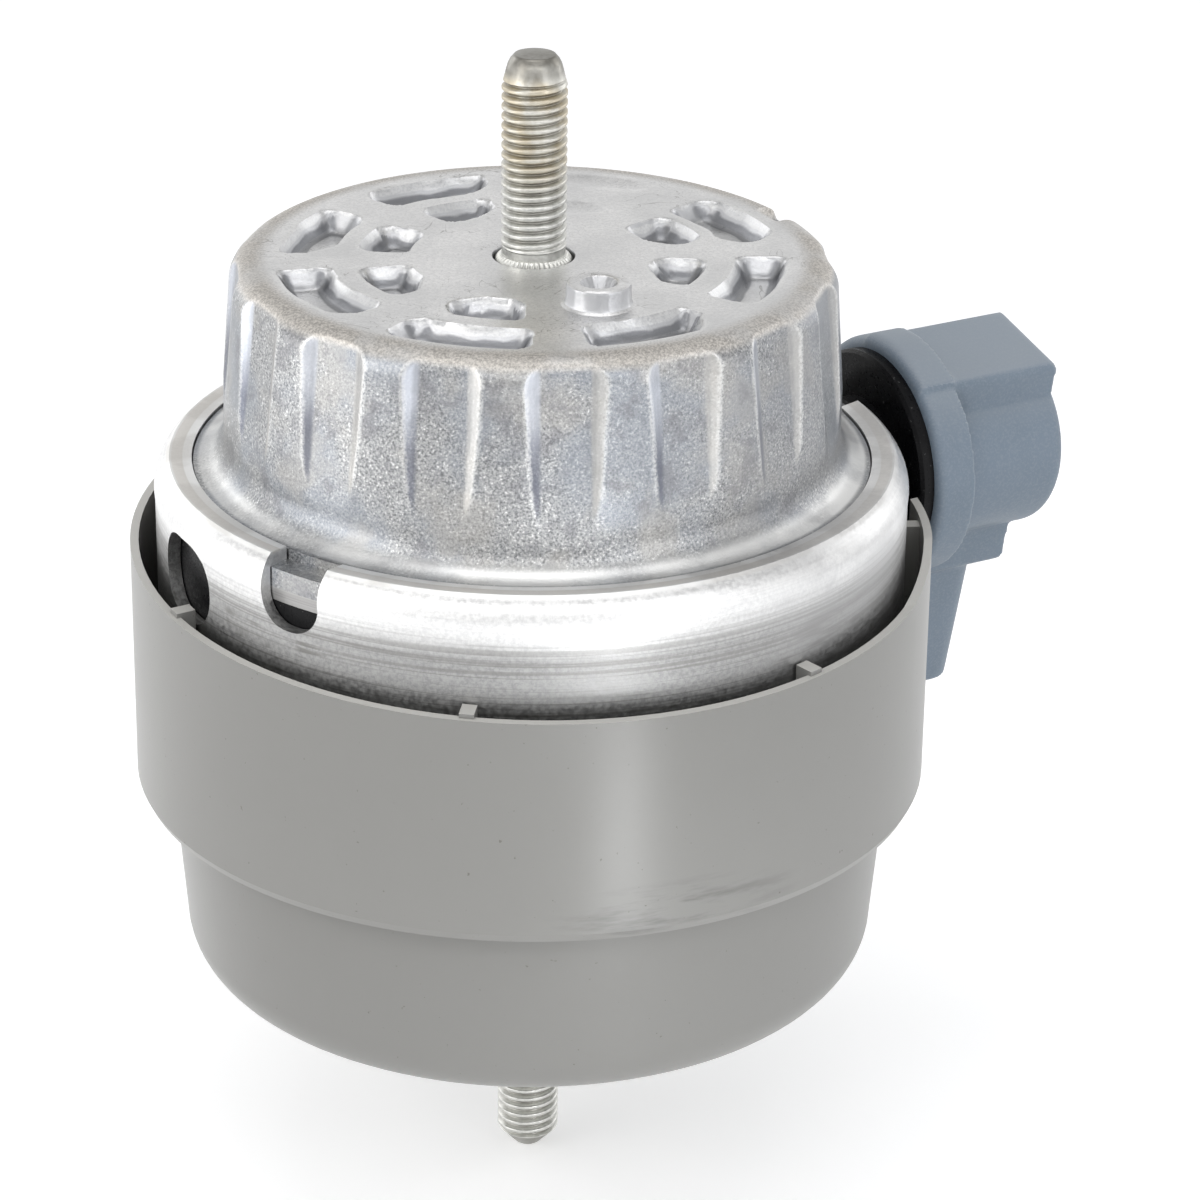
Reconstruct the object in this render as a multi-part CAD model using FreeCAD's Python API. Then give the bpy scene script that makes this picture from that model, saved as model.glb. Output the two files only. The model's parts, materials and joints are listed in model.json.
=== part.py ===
import FreeCAD, Part
import math
import os

os.makedirs("parts", exist_ok=True)

# Switchable hydraulic engine mount, in millimetres.
# Z runs up along the mount's axis, and z = 0 is the seat face under the core.
# The solenoid leaves the housing sideways, at the angle PORT_ANGLE from +X.

# Small bevels, fits and the reach of tools that run out of a wall
EDGE_BREAK = 0.5
BEVEL = 1.0
PRESS_GAP = 0.02
OVERCUT = 0.01
THROUGH = 20.0
ABOVE_ALL = 200.0
TINY = 1e-6

# Studs, both M10
STUD_R = 4.95
STUD_NECK_R = 4.3
STUD_NECK_LENGTH = 1.2
STUD_PRESS_R = 5.6

# Core and its lower stud
CORE_BOSS_R = 19.0
CORE_FLANGE_R = 26.0
CORE_FLANGE_HEIGHT = 5.0
CORE_FLANGE_BEVEL = 1.5
CORE_CONE_FOOT_R = 23.5
CORE_CONE_TOP_R = 14.5
CORE_TOP_Z = 46.0
CORE_TOP_ROUND = 3.0
CORE_STUD_DEPTH = 24.0
LOWER_STUD_OUT = 37.5
LOWER_STUD_TIP_R = 2.0
LOWER_STUD_TIP_LENGTH = 3.2

# Spun aluminium housing: its radii are insets from the outside
HOUSING_R = 57.85
HOUSING_WALL = 2.0
HOUSING_BOTTOM_Z = 43.0
HOUSING_RIM_EDGE_INSET = 2.27
HOUSING_RIM_EDGE_R = HOUSING_R - HOUSING_RIM_EDGE_INSET
HOUSING_RIM_INNER_INSET = 5.7
HOUSING_RIM_INNER_R = HOUSING_R - HOUSING_RIM_INNER_INSET
HOUSING_RIM_DIP = 0.25
HOUSING_SHOULDER_DROP = 6.0
HOUSING_SHOULDER_MIDDLE = (0.75, 0.33)
HOUSING_LIP_INSET = 7.35
HOUSING_LIP_R = HOUSING_R - HOUSING_LIP_INSET
HOUSING_BOTTOM_ROUND = 3.0
HOUSING_BORE_R = HOUSING_R - HOUSING_WALL
WINDOW_ANGLE = -153.0
WINDOW_DROP = 10.7
WINDOW_WIDTH = 16.0
WINDOW_HEIGHT = 12.6
WINDOW_ROUND = 6.0
NOTCH_ANGLE = -127.3
NOTCH_WIDTH = 10.6
NOTCH_DEPTH = 10.3
NOTCH_ROUND = 4.8
PORT_HOLE_R = 14.45

# Stack clamped under the rolled rim
STACK_GAP = 0.15
STACK_R = HOUSING_BORE_R - STACK_GAP
RING_HEIGHT = 15.0
NOZZLE_BODY_THICKNESS = 18.25
UPPER_PLATE_THICKNESS = 2.0
CAP_FLANGE_THICKNESS = 3.0
RING_BOTTOM_Z = HOUSING_BOTTOM_Z + HOUSING_WALL
NOZZLE_BODY_BOTTOM_Z = RING_BOTTOM_Z + RING_HEIGHT
PLATE_BOTTOM_Z = NOZZLE_BODY_BOTTOM_Z + NOZZLE_BODY_THICKNESS
FLANGE_BOTTOM_Z = PLATE_BOTTOM_Z + UPPER_PLATE_THICKNESS
FLANGE_TOP_Z = FLANGE_BOTTOM_Z + CAP_FLANGE_THICKNESS
HOUSING_RIM_TOP_Z = FLANGE_TOP_Z + HOUSING_WALL + HOUSING_RIM_DIP

# Die-cast cap: heights count down from its top, and radii in from its flare
CAP_TOP_RISE = 31.4
CAP_TOP_Z = HOUSING_RIM_TOP_Z + CAP_TOP_RISE
CAP_FLARE_INSET = 0.25
CAP_FLARE_R = HOUSING_RIM_INNER_R - CAP_FLARE_INSET
CAP_FLARE_RISE = 1.6
CAP_FOOT_INSET = 4.7
CAP_FOOT_R = CAP_FLARE_R - CAP_FOOT_INSET
CAP_FOOT_DROP = 19.9
CAP_FOOT_Z = CAP_TOP_Z - CAP_FOOT_DROP
CAP_TOP_INSET = 1.1
CAP_TOP_R = CAP_FOOT_R - CAP_TOP_INSET
CAP_TOP_WALL = 5.4
CAP_EDGE_ROUND = 4.2
CAP_WALL = 3.6
CAP_INNER_ROUND = 4.2
CAP_INNER_BEVEL = 4.0
CAP_STUD_BOSS_R = 13.0
CAP_STUD_BOSS_DROP = 10.9
CAP_STUD_BOSS_Z = CAP_TOP_Z - CAP_STUD_BOSS_DROP
CAP_COLLAR_HOLE_R = 6.2
CAP_COLLAR_HOLE_DEPTH = 3.0
CAP_SECTORS = 8
CAP_POCKET_DEPTH = 2.4
CAP_POCKET_SLOPE = 1.1
CAP_EDGE_BAND = 6.5
CAP_OUTER_POCKET_WIDTH = 9.2
CAP_POCKET_WEB = 3.2
CAP_INNER_POCKET_WIDTH = 8.6
CAP_OUTER_POCKET_R = CAP_TOP_R - CAP_EDGE_BAND
CAP_INNER_POCKET_R = CAP_OUTER_POCKET_R - CAP_OUTER_POCKET_WIDTH - CAP_POCKET_WEB
CAP_INNER_POCKET_ANGLE = 29.0
CAP_OUTER_POCKET_ANGLE = 33.0
CAP_PANELS = 16
CAP_PANEL_WIDTH = 12.2
CAP_PANEL_FLOOR_WIDTH = 9.6
CAP_PANEL_DEPTH = 1.5
CAP_PANEL_HEIGHT = 26.4
KEY_BOSS_ANGLE = -65.5
KEY_BOSS_DISTANCE = 23.0
KEY_BOSS_TOP_R = 4.7
KEY_BOSS_FOOT_R = 5.4
KEY_BOSS_HEIGHT = 3.4
KEY_RECESS_R = 3.3
KEY_RECESS_FLOOR_R = 1.6
KEY_RECESS_DEPTH = 3.0
EDGE_NOTCH_WIDTH = 6.0
EDGE_NOTCH_DEPTH = 2.2
EDGE_NOTCH_REACH = 5.1
EDGE_NOTCH_START_R = CAP_TOP_R - EDGE_NOTCH_REACH

# Top stud
TOP_STUD_TIP_RISE = 31.4
TOP_STUD_TIP_Z = CAP_TOP_Z + TOP_STUD_TIP_RISE
TOP_STUD_COLLAR_R = 5.8
TOP_STUD_HEAD_R = 9.0
TOP_STUD_HEAD_HEIGHT = 3.0
TOP_STUD_TIP_R = 2.9
TOP_STUD_TIP_BEVEL = 1.2
TOP_STUD_TAPER_R = 3.9
TOP_STUD_TAPER_LENGTH = 4.6

# Bellows under the cap: its heights count up from the cap flange's underside
BELLOWS_WALL = 1.8
BELLOWS_BEAD_INNER_OUTSET = 0.9
BELLOWS_BEAD_INNER_R = CAP_FOOT_R - CAP_WALL + BELLOWS_BEAD_INNER_OUTSET
BELLOWS_BEAD_OUTSET = 3.5
BELLOWS_BEAD_R = BELLOWS_BEAD_INNER_R + BELLOWS_BEAD_OUTSET
BELLOWS_BEAD_HEIGHT = 2.6
BELLOWS_SIDE_INSET = 1.7
BELLOWS_SIDE_R = CAP_FOOT_R - CAP_WALL - BELLOWS_SIDE_INSET
BELLOWS_FOLD_R = 3.4
BELLOWS_FOLD_RISE = 11.75
BELLOWS_FOLD_Z = FLANGE_BOTTOM_Z + BELLOWS_FOLD_RISE
BELLOWS_VALLEY_RISE = 7.25
BELLOWS_VALLEY_Z = FLANGE_BOTTOM_Z + BELLOWS_VALLEY_RISE
BELLOWS_CROWN_RISE = 16.85
BELLOWS_CROWN_Z = FLANGE_BOTTOM_Z + BELLOWS_CROWN_RISE
BELLOWS_CROWN_ROUND = 3.1

# Channel body, plate and decoupler membrane
TRACK_OUTER_INSET = 8.7
TRACK_OUTER_R = STACK_R - TRACK_OUTER_INSET
TRACK_INNER_INSET = 7.0
TRACK_INNER_R = TRACK_OUTER_R - TRACK_INNER_INSET
TRACK_DEPTH = 8.0
TRACK_GAP_ANGLE = 60.0
TRACK_PORT_R = 3.0
TRACK_PORT_SHIFT = 4.2
NOZZLE_DISH_INSET = 12.7
NOZZLE_DISH_R = STACK_R - NOZZLE_DISH_INSET
NOZZLE_DISH_DEPTH = 4.0
MEMBRANE_INSET = 14.3
MEMBRANE_R = TRACK_INNER_R - MEMBRANE_INSET
MEMBRANE_BEAD_WIDTH = 3.0
MEMBRANE_DISC = 1.6
MEMBRANE_BEAD = 3.4
MEMBRANE_GAP = 0.3
MEMBRANE_POCKET_DEPTH = 4.0
AIR_CHAMBER_INSET = 5.7
AIR_CHAMBER_R = MEMBRANE_R - AIR_CHAMBER_INSET
AIR_CHAMBER_DEPTH = 3.6
GRILLE_HOLES = 8
GRILLE_CIRCLE_R = 14.0
GRILLE_HOLE_R = 3.0

# Rubber spring and the ring that carries it
RING_BOTTOM_INSET = 5.7
RING_BOTTOM_R = STACK_R - RING_BOTTOM_INSET
RING_TOP_INSET = 11.7
RING_TOP_R = STACK_R - RING_TOP_INSET
SEAL_OUTER_INSET = 2.7
SEAL_OUTER_R = STACK_R - SEAL_OUTER_INSET
SEAL_INNER_INSET = 2.8
SEAL_INNER_R = SEAL_OUTER_R - SEAL_INNER_INSET
SEAL_GROOVE_DEPTH = 1.8
BOND_GAP = 0.32
RUBBER_FOOT_RISE = 3.0
RUBBER_NECK_DROP = 1.5
RUBBER_END_MARGIN = 1.0
RUBBER_UNDERSIDE_INSET = 10.0
RUBBER_UNDERSIDE_DROP = 18.0
RUBBER_ROOF_INSET = 16.0
RUBBER_ROOF_RISE = 6.5

# How far the upper half moves on the rubber
TRAVEL_DOWN = 6.0

# Plastic heat shield round the lower body
SHIELD_GAP = 2.75
SHIELD_WALL = 1.3
SHIELD_WIDE_R = HOUSING_R + SHIELD_GAP + SHIELD_WALL
SHIELD_STEP_INSET = 0.65
SHIELD_STEP_R = SHIELD_WIDE_R - SHIELD_STEP_INSET
SHIELD_STEP_Z = 32.75
SHIELD_STEP_LEDGE = 0.8
SHIELD_STEP_RISE = 1.3
SHIELD_LOW_TOP_INSET = 5.4
SHIELD_LOW_TOP_R = SHIELD_WIDE_R - SHIELD_LOW_TOP_INSET
SHIELD_LOW_FOOT_INSET = 7.3
SHIELD_LOW_FOOT_R = SHIELD_WIDE_R - SHIELD_LOW_FOOT_INSET
SHIELD_FOOT_ROUND = 8.0
SHIELD_BOTTOM_Z = 1.0
SHIELD_FLOOR = 1.5
SHIELD_RIM_FRONT_DROP = 17.3
SHIELD_RIM_FRONT_Z = HOUSING_RIM_TOP_Z - SHIELD_RIM_FRONT_DROP
SHIELD_RIM_BACK_DROP = 10.8
SHIELD_RIM_BACK_Z = HOUSING_RIM_TOP_Z - SHIELD_RIM_BACK_DROP
SHIELD_RIM_SIDE_SLOPE = 0.016
SHIELD_EAR_TOP_DROP = 12.8
SHIELD_EAR_TOP_Z = HOUSING_RIM_TOP_Z - SHIELD_EAR_TOP_DROP
SHIELD_EAR_TOP_WIDTH = 66.0
SHIELD_EAR_FOOT_WIDTH = 100.0
SHIELD_EAR_FOOT_DROP = 4.0
SHIELD_EAR_FOOT_Z = SHIELD_EAR_TOP_Z - SHIELD_EAR_FOOT_DROP
SHIELD_EAR_ROUND = 5.0
SHIELD_SHELL_TOP_Z = SHIELD_RIM_BACK_Z + BEVEL
SHIELD_RIB_COUNT = 7
SHIELD_RIB_WIDTH = 2.2
SHIELD_RIB_RISE = 0.7
SHIELD_RIB_BOTTOM_Z = 40.0
SHIELD_RIB_FIRST_ANGLE = 4.3
SHIELD_NOTCH_GAP = 0.6
RIB_CLEARANCE = 0.35
CORE_SHOULDER_Z = SHIELD_BOTTOM_Z + SHIELD_FLOOR
CORE_CONE_Z = CORE_SHOULDER_Z + CORE_FLANGE_HEIGHT

# Solenoid: it lies along an axis that is square to the mount's axis, and its places are distances from there
PORT_ANGLE = 28.5
PORT_DROP = 5.85
PORT_Z = PLATE_BOTTOM_Z - PORT_DROP
PORT_ROLL = 13.5
FLANGE_R = 17.8
FLANGE_THICKNESS = 2.3
FLANGE_STANDOFF = 2.55
FLANGE_INNER = HOUSING_R + FLANGE_STANDOFF
FLANGE_OUTER = FLANGE_INNER + FLANGE_THICKNESS
NECK_R = 10.4
NECK_END_GAP = 0.6
NECK_INNER = STACK_R + NECK_END_GAP
NOSE_R = 4.0
NOSE_GAP = 0.05
NOSE_END_GAP = 0.3
NOSE_INNER_WALL = 2.3
NOSE_INNER = MEMBRANE_R + MEMBRANE_GAP + NOSE_INNER_WALL
NOSE_BORE_R = 1.5
AIR_DUCT_R = 1.2
VALVE_POCKET_R = 6.0
VALVE_SEAT_SETBACK = 2.8
VALVE_SEAT = FLANGE_INNER - VALVE_SEAT_SETBACK
NOSE_SEAL_SETBACK = 6.3
NOSE_SEAL_AT = NECK_INNER - NOSE_SEAL_SETBACK
NOSE_SEAL_WIDTH = 1.8
NOSE_SEAL_DEPTH = 0.9

# Solenoid body: its lengths start at the flange, and heights at the solenoid's axis
BODY_COLLAR_LENGTH = 6.7
BODY_COLLAR_RISE = 1.8
BODY_COLLAR_R = FLANGE_R + BODY_COLLAR_RISE
BODY_COLLAR_FACE_STEP = 0.2
BODY_CROWN_RISE = 0.6
BODY_CROWN_R = BODY_COLLAR_R + BODY_CROWN_RISE
BODY_BARREL_R = 15.0
BODY_BARREL_LENGTH = 27.7
BODY_BOX_WIDTH = 17.0
BODY_BOX_RISE = 3.2
BODY_BOX_TOP = BODY_BARREL_R + BODY_BOX_RISE
BODY_BOX_SETBACK = 1.2
BODY_BOX_LENGTH = BODY_BARREL_LENGTH - BODY_BOX_SETBACK
BODY_ROOT_DROP = 5.5
BODY_ROOT_BOTTOM = -BODY_BARREL_R - BODY_ROOT_DROP
BODY_ROOT_SETBACK = 4.0
BODY_ROOT_LENGTH = BODY_BARREL_LENGTH - BODY_ROOT_SETBACK
BODY_ROUND = 1.5
BODY_END_ROUND = 3.0
BODY_WALL = 2.4
BODY_END_WALL = 3.4
SHROUD_SETBACK = 2.9
SHROUD_INNER = FLANGE_OUTER + SHROUD_SETBACK
SHROUD_LENGTH = 16.8
SHROUD_OUTER = SHROUD_INNER + SHROUD_LENGTH
SHROUD_WIDTH = 15.0
SHROUD_DEPTH = 23.6
SHROUD_BOTTOM = BODY_ROOT_BOTTOM - SHROUD_DEPTH
SHROUD_ROUND = 4.0
SHROUD_WALL = 1.3
SHROUD_ROOF_THICKNESS = 5.5
SHROUD_FLOOR = BODY_ROOT_BOTTOM - SHROUD_ROOF_THICKNESS
BLADE_WIDTH = 2.8
BLADE_THICKNESS = 0.8
BLADE_PITCH = 5.0
BLADE_TIP_INSET = 4.5
BLADE_TIP = SHROUD_BOTTOM + BLADE_TIP_INSET
BLADE_ROOT_GAP = 0.5
BLADE_ROOT = -BODY_BARREL_R - BLADE_ROOT_GAP
BLADE_GAP = 0.05

# Inside the solenoid
YOKE_GAP = 0.15
YOKE_WALL = 1.4
WASHER_THICKNESS = 1.5
BOBBIN_BORE_R = 4.5
BOBBIN_TUBE = 1.0
BOBBIN_FLANGE = 1.2
BOBBIN_GAP = 0.2
WINDING_GAP = 0.1
WINDING_SHORT = 0.6
PLUNGER_CLEARANCE = 0.08
PLUNGER_TRAVEL = 1.5
PLUNGER_REST_GAP = 0.1
PLUNGER_TIP = VALVE_SEAT + PLUNGER_REST_GAP
PLUNGER_TIP_R = 2.4
PLUNGER_TIP_LENGTH = 1.6
PLUNGER_SHARE = 0.52
PLUNGER_STOP_GAP = 0.3
POLE_CLEARANCE = 0.02
SPRING_POCKET_R = 2.7
SPRING_POCKET_DEPTH = 4.0
SPRING_MEAN_R = 2.0
SPRING_WIRE_R = 0.3
SPRING_TURNS = 5

AXIS = FreeCAD.Vector(0, 0, 1)


def at(r, angle, z):
    """Point at a radius, an angle in degrees and a height."""
    a = math.radians(angle)
    return FreeCAD.Vector(r * math.cos(a), r * math.sin(a), z)


def outline(start, *steps):
    """Closed face in the XZ plane. A step is a point, or a pair for an arc: a point on it and its end."""
    edges = []
    here = FreeCAD.Vector(start[0], 0, start[1])
    first = here
    for step in steps:
        if isinstance(step[0], tuple):
            middle = FreeCAD.Vector(step[0][0], 0, step[0][1])
            end = FreeCAD.Vector(step[1][0], 0, step[1][1])
            edges.append(Part.Arc(here, middle, end).toShape())
        else:
            end = FreeCAD.Vector(step[0], 0, step[1])
            edges.append(Part.makeLine(here, end))
        here = end
    if here.distanceToPoint(first) > TINY:
        edges.append(Part.makeLine(here, first))
    return Part.Face(Part.Wire(edges))


def turned(start, *steps):
    """Solid of revolution about Z."""
    return outline(start, *steps).revolve(FreeCAD.Vector(0, 0, 0), AXIS, 360)


def round_corner(centre, radius, angle):
    """Point on a round, for the middle of an arc step."""
    a = math.radians(angle)
    return (centre[0] + radius * math.cos(a), centre[1] + radius * math.sin(a))


def tube(outer_r, inner_r, bottom, top):
    """Plain ring about Z."""
    return turned((inner_r, bottom), (outer_r, bottom), (outer_r, top), (inner_r, top))


def disc(radius, bottom, top):
    """Plain cylinder about Z."""
    return Part.makeCylinder(radius, top - bottom, FreeCAD.Vector(0, 0, bottom), AXIS)


def port_frame():
    """Placement of the solenoid: X up, Y to the side, Z out along its axis."""
    a = math.radians(PORT_ANGLE)
    r = math.radians(PORT_ROLL)
    out = FreeCAD.Vector(math.cos(a), math.sin(a), 0)
    up = FreeCAD.Vector(math.sin(a) * math.sin(r), -math.cos(a) * math.sin(r), math.cos(r))
    side = out.cross(up)
    return FreeCAD.Placement(FreeCAD.Matrix(
        up.x, side.x, out.x, 0,
        up.y, side.y, out.y, 0,
        up.z, side.z, out.z, PORT_Z))


def on_port(shape):
    """Copy of a shape moved from the solenoid's frame to the mount's."""
    moved = shape.copy()
    moved.Placement = port_frame().multiply(shape.Placement)
    return moved


def block(up, side, out):
    """Box in the solenoid's frame from three pairs of limits."""
    corner = FreeCAD.Vector(up[0], side[0], out[0])
    return Part.makeBox(up[1] - up[0], side[1] - side[0], out[1] - out[0], corner)


def edges_along_x(shape):
    """Straight edges of a block or prism that run along X."""
    return [e for e in shape.Edges if abs(e.Vertexes[0].X - e.Vertexes[1].X) > TINY]


def core_cone_r(z):
    """Radius of the core's bonding cone at a height."""
    share = (z - CORE_CONE_Z) / (CORE_TOP_Z - CORE_CONE_Z)
    return CORE_CONE_FOOT_R + (CORE_CONE_TOP_R - CORE_CONE_FOOT_R) * share


def ring_cone_r(z):
    """Radius of the support ring's bonding cone at a height."""
    share = (z - RING_BOTTOM_Z) / (NOZZLE_BODY_BOTTOM_Z - RING_BOTTOM_Z)
    return RING_BOTTOM_R + (RING_TOP_R - RING_BOTTOM_R) * share


def core():
    """Aluminium core: seat boss, flange on the shield's floor and the cone that the rubber grips."""
    top_r = core_cone_r(CORE_TOP_Z - CORE_TOP_ROUND)
    top_corner = (top_r - CORE_TOP_ROUND, CORE_TOP_Z - CORE_TOP_ROUND)
    body = turned(
        (0, 0),
        (CORE_BOSS_R - EDGE_BREAK, 0),
        (CORE_BOSS_R, EDGE_BREAK),
        (CORE_BOSS_R, CORE_SHOULDER_Z),
        (CORE_FLANGE_R, CORE_SHOULDER_Z),
        (CORE_FLANGE_R, CORE_CONE_Z - CORE_FLANGE_BEVEL),
        (CORE_CONE_FOOT_R, CORE_CONE_Z),
        (top_r, top_corner[1]),
        (round_corner(top_corner, CORE_TOP_ROUND, 45), (top_corner[0], CORE_TOP_Z)),
        (0, CORE_TOP_Z))
    return body.cut(disc(STUD_PRESS_R, 0, CORE_STUD_DEPTH))


def lower_stud():
    """M10 stud pressed into the core, with a deep bevel at its free end."""
    tip_z = -LOWER_STUD_OUT
    return turned(
        (0, tip_z),
        (LOWER_STUD_TIP_R, tip_z),
        (STUD_R, tip_z + LOWER_STUD_TIP_LENGTH),
        (STUD_R, 0),
        (STUD_PRESS_R - PRESS_GAP, 0),
        (STUD_PRESS_R - PRESS_GAP, CORE_STUD_DEPTH),
        (0, CORE_STUD_DEPTH))


def shield_shell(rim_z):
    """Stepped shell of the heat shield up to a flat rim."""
    wall = SHIELD_WALL
    foot_z = SHIELD_BOTTOM_Z + SHIELD_FOOT_ROUND
    corner = (SHIELD_LOW_FOOT_R - SHIELD_FOOT_ROUND, foot_z)
    inner_round = SHIELD_FOOT_ROUND - SHIELD_FLOOR
    step_top = SHIELD_STEP_Z + SHIELD_STEP_RISE
    return turned(
        (CORE_BOSS_R + PRESS_GAP, SHIELD_BOTTOM_Z),
        (corner[0], SHIELD_BOTTOM_Z),
        (round_corner(corner, SHIELD_FOOT_ROUND, -45), (SHIELD_LOW_FOOT_R, foot_z)),
        (SHIELD_LOW_TOP_R, SHIELD_STEP_Z - SHIELD_STEP_LEDGE),
        (SHIELD_STEP_R, SHIELD_STEP_Z),
        (SHIELD_WIDE_R, step_top),
        (SHIELD_WIDE_R, rim_z),
        (SHIELD_WIDE_R - wall, rim_z),
        (SHIELD_WIDE_R - wall, step_top + wall),
        (SHIELD_LOW_TOP_R - wall, SHIELD_STEP_Z + wall),
        (SHIELD_LOW_FOOT_R - wall, foot_z),
        (round_corner(corner, inner_round, -45), (corner[0], SHIELD_BOTTOM_Z + SHIELD_FLOOR)),
        (CORE_BOSS_R + PRESS_GAP, SHIELD_BOTTOM_Z + SHIELD_FLOOR))


def above_rim_plane(rise):
    """Half space above the shield's slanted rim, which is lowest at the front (-Y) and a little lower at +X."""
    reach = 2 * SHIELD_WIDE_R
    slope = (SHIELD_RIM_BACK_Z - SHIELD_RIM_FRONT_Z) / (2 * SHIELD_WIDE_R)
    middle_z = (SHIELD_RIM_BACK_Z + SHIELD_RIM_FRONT_Z) / 2 + rise
    left_z = middle_z + SHIELD_RIM_SIDE_SLOPE * reach
    side = Part.makePolygon([
        FreeCAD.Vector(-reach, -reach, left_z - slope * reach),
        FreeCAD.Vector(-reach, reach, left_z + slope * reach),
        FreeCAD.Vector(-reach, reach, ABOVE_ALL),
        FreeCAD.Vector(-reach, -reach, ABOVE_ALL),
        FreeCAD.Vector(-reach, -reach, left_z - slope * reach)])
    return Part.Face(side).extrude(FreeCAD.Vector(2 * reach, 0, -2 * reach * SHIELD_RIM_SIDE_SLOPE))


def shield_ears():
    """Tool for the raised part of the rim on both sides of the solenoid's notch, with sloping ends."""
    foot = SHIELD_EAR_FOOT_WIDTH / 2
    top = SHIELD_EAR_TOP_WIDTH / 2
    outer = Part.makePolygon([
        FreeCAD.Vector(0, -foot, 0),
        FreeCAD.Vector(0, foot, 0),
        FreeCAD.Vector(0, foot, SHIELD_EAR_FOOT_Z),
        FreeCAD.Vector(0, top, SHIELD_EAR_TOP_Z),
        FreeCAD.Vector(0, -top, SHIELD_EAR_TOP_Z),
        FreeCAD.Vector(0, -foot, SHIELD_EAR_FOOT_Z),
        FreeCAD.Vector(0, -foot, 0)])
    ears = Part.Face(outer).extrude(FreeCAD.Vector(2 * SHIELD_WIDE_R, 0, 0))
    upper = [e for e in edges_along_x(ears) if e.Vertexes[0].Z > TINY]
    ears = ears.makeFillet(SHIELD_EAR_ROUND, upper)
    ears.rotate(FreeCAD.Vector(0, 0, 0), AXIS, PORT_ANGLE)
    return ears


def shield_notch():
    """Open slot in the shield for the solenoid's flange, with a round bottom."""
    radius = FLANGE_R + SHIELD_NOTCH_GAP
    low = -TRAVEL_DOWN - SHIELD_NOTCH_GAP
    length = SHIELD_WIDE_R
    round_end = Part.makeCylinder(radius, length, FreeCAD.Vector(0, 0, SHIELD_WIDE_R / 2), AXIS)
    round_end = on_port(round_end)
    slot = Part.makeBox(length, 2 * radius, ABOVE_ALL, FreeCAD.Vector(SHIELD_WIDE_R / 2, -radius, PORT_Z))
    slot.rotate(FreeCAD.Vector(0, 0, 0), AXIS, PORT_ANGLE)
    notch = round_end.fuse(slot)
    notch.translate(FreeCAD.Vector(0, 0, low))
    return notch


def shield_ribs():
    """Upright ribs inside the shield that centre it round the housing."""
    inner_r = HOUSING_R + RIB_CLEARANCE
    ring = tube(SHIELD_WIDE_R - SHIELD_WALL / 2, inner_r, SHIELD_RIB_BOTTOM_Z, SHIELD_SHELL_TOP_Z)
    ring = ring.cut(above_rim_plane(SHIELD_RIB_RISE))
    ribs = []
    for k in range(SHIELD_RIB_COUNT):
        bar = Part.makeBox(
            SHIELD_WIDE_R, SHIELD_RIB_WIDTH, SHIELD_SHELL_TOP_Z,
            FreeCAD.Vector(HOUSING_R / 2, -SHIELD_RIB_WIDTH / 2, 0))
        bar.rotate(FreeCAD.Vector(0, 0, 0), AXIS, SHIELD_RIB_FIRST_ANGLE + k * 360 / SHIELD_RIB_COUNT)
        ribs.append(ring.common(bar))
    return ribs


def heat_shield_cup():
    """Stepped plastic cup with a slanted rim, ribs inside and a raised notch for the solenoid."""
    shell = shield_shell(SHIELD_SHELL_TOP_Z)
    shell = shell.cut(above_rim_plane(0).cut(shield_ears()))
    shell = shell.fuse(shield_ribs())
    return shell.cut(shield_notch()).removeSplitter()


def housing():
    """Spun can: rolled rim on top, side wall with its openings and a lip under the support ring."""
    wall = HOUSING_WALL
    lip_corner = (HOUSING_R - HOUSING_BOTTOM_ROUND, HOUSING_BOTTOM_Z + HOUSING_BOTTOM_ROUND)
    shoulder_z = HOUSING_RIM_TOP_Z - HOUSING_SHOULDER_DROP
    out_share, down_share = HOUSING_SHOULDER_MIDDLE
    shoulder_middle = (
        HOUSING_RIM_EDGE_R + (HOUSING_R - HOUSING_RIM_EDGE_R) * out_share,
        HOUSING_RIM_TOP_Z - HOUSING_SHOULDER_DROP * down_share)
    can = turned(
        (HOUSING_LIP_R, HOUSING_BOTTOM_Z),
        (lip_corner[0], HOUSING_BOTTOM_Z),
        (round_corner(lip_corner, HOUSING_BOTTOM_ROUND, -45), (HOUSING_R, lip_corner[1])),
        (HOUSING_R, shoulder_z),
        (shoulder_middle, (HOUSING_RIM_EDGE_R, HOUSING_RIM_TOP_Z)),
        (HOUSING_RIM_INNER_R, HOUSING_RIM_TOP_Z - HOUSING_RIM_DIP),
        (HOUSING_RIM_INNER_R, FLANGE_TOP_Z),
        (HOUSING_BORE_R, FLANGE_TOP_Z),
        (HOUSING_BORE_R, RING_BOTTOM_Z),
        (HOUSING_LIP_R, RING_BOTTOM_Z))
    for opening in (window_tool(), notch_tool(), neck_tool()):
        can = can.cut(opening)
    return can


def side_bar(angle, width, bottom, top, round_r):
    """Upright-sided bar that runs out through the wall, with rounded long edges."""
    bar = Part.makeBox(
        THROUGH, width, top - bottom, FreeCAD.Vector(HOUSING_BORE_R - THROUGH / 2, -width / 2, bottom))
    bar = bar.makeFillet(round_r, edges_along_x(bar))
    bar.rotate(FreeCAD.Vector(0, 0, 0), AXIS, angle)
    return bar


def window_tool():
    """Rounded window through the housing's wall."""
    middle_z = HOUSING_RIM_TOP_Z - WINDOW_DROP
    half = WINDOW_HEIGHT / 2
    return side_bar(WINDOW_ANGLE, WINDOW_WIDTH, middle_z - half, middle_z + half, WINDOW_ROUND)


def notch_tool():
    """Notch with a round bottom that runs out through the rim."""
    return side_bar(NOTCH_ANGLE, NOTCH_WIDTH, HOUSING_RIM_TOP_Z - NOTCH_DEPTH, ABOVE_ALL, NOTCH_ROUND)


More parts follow.
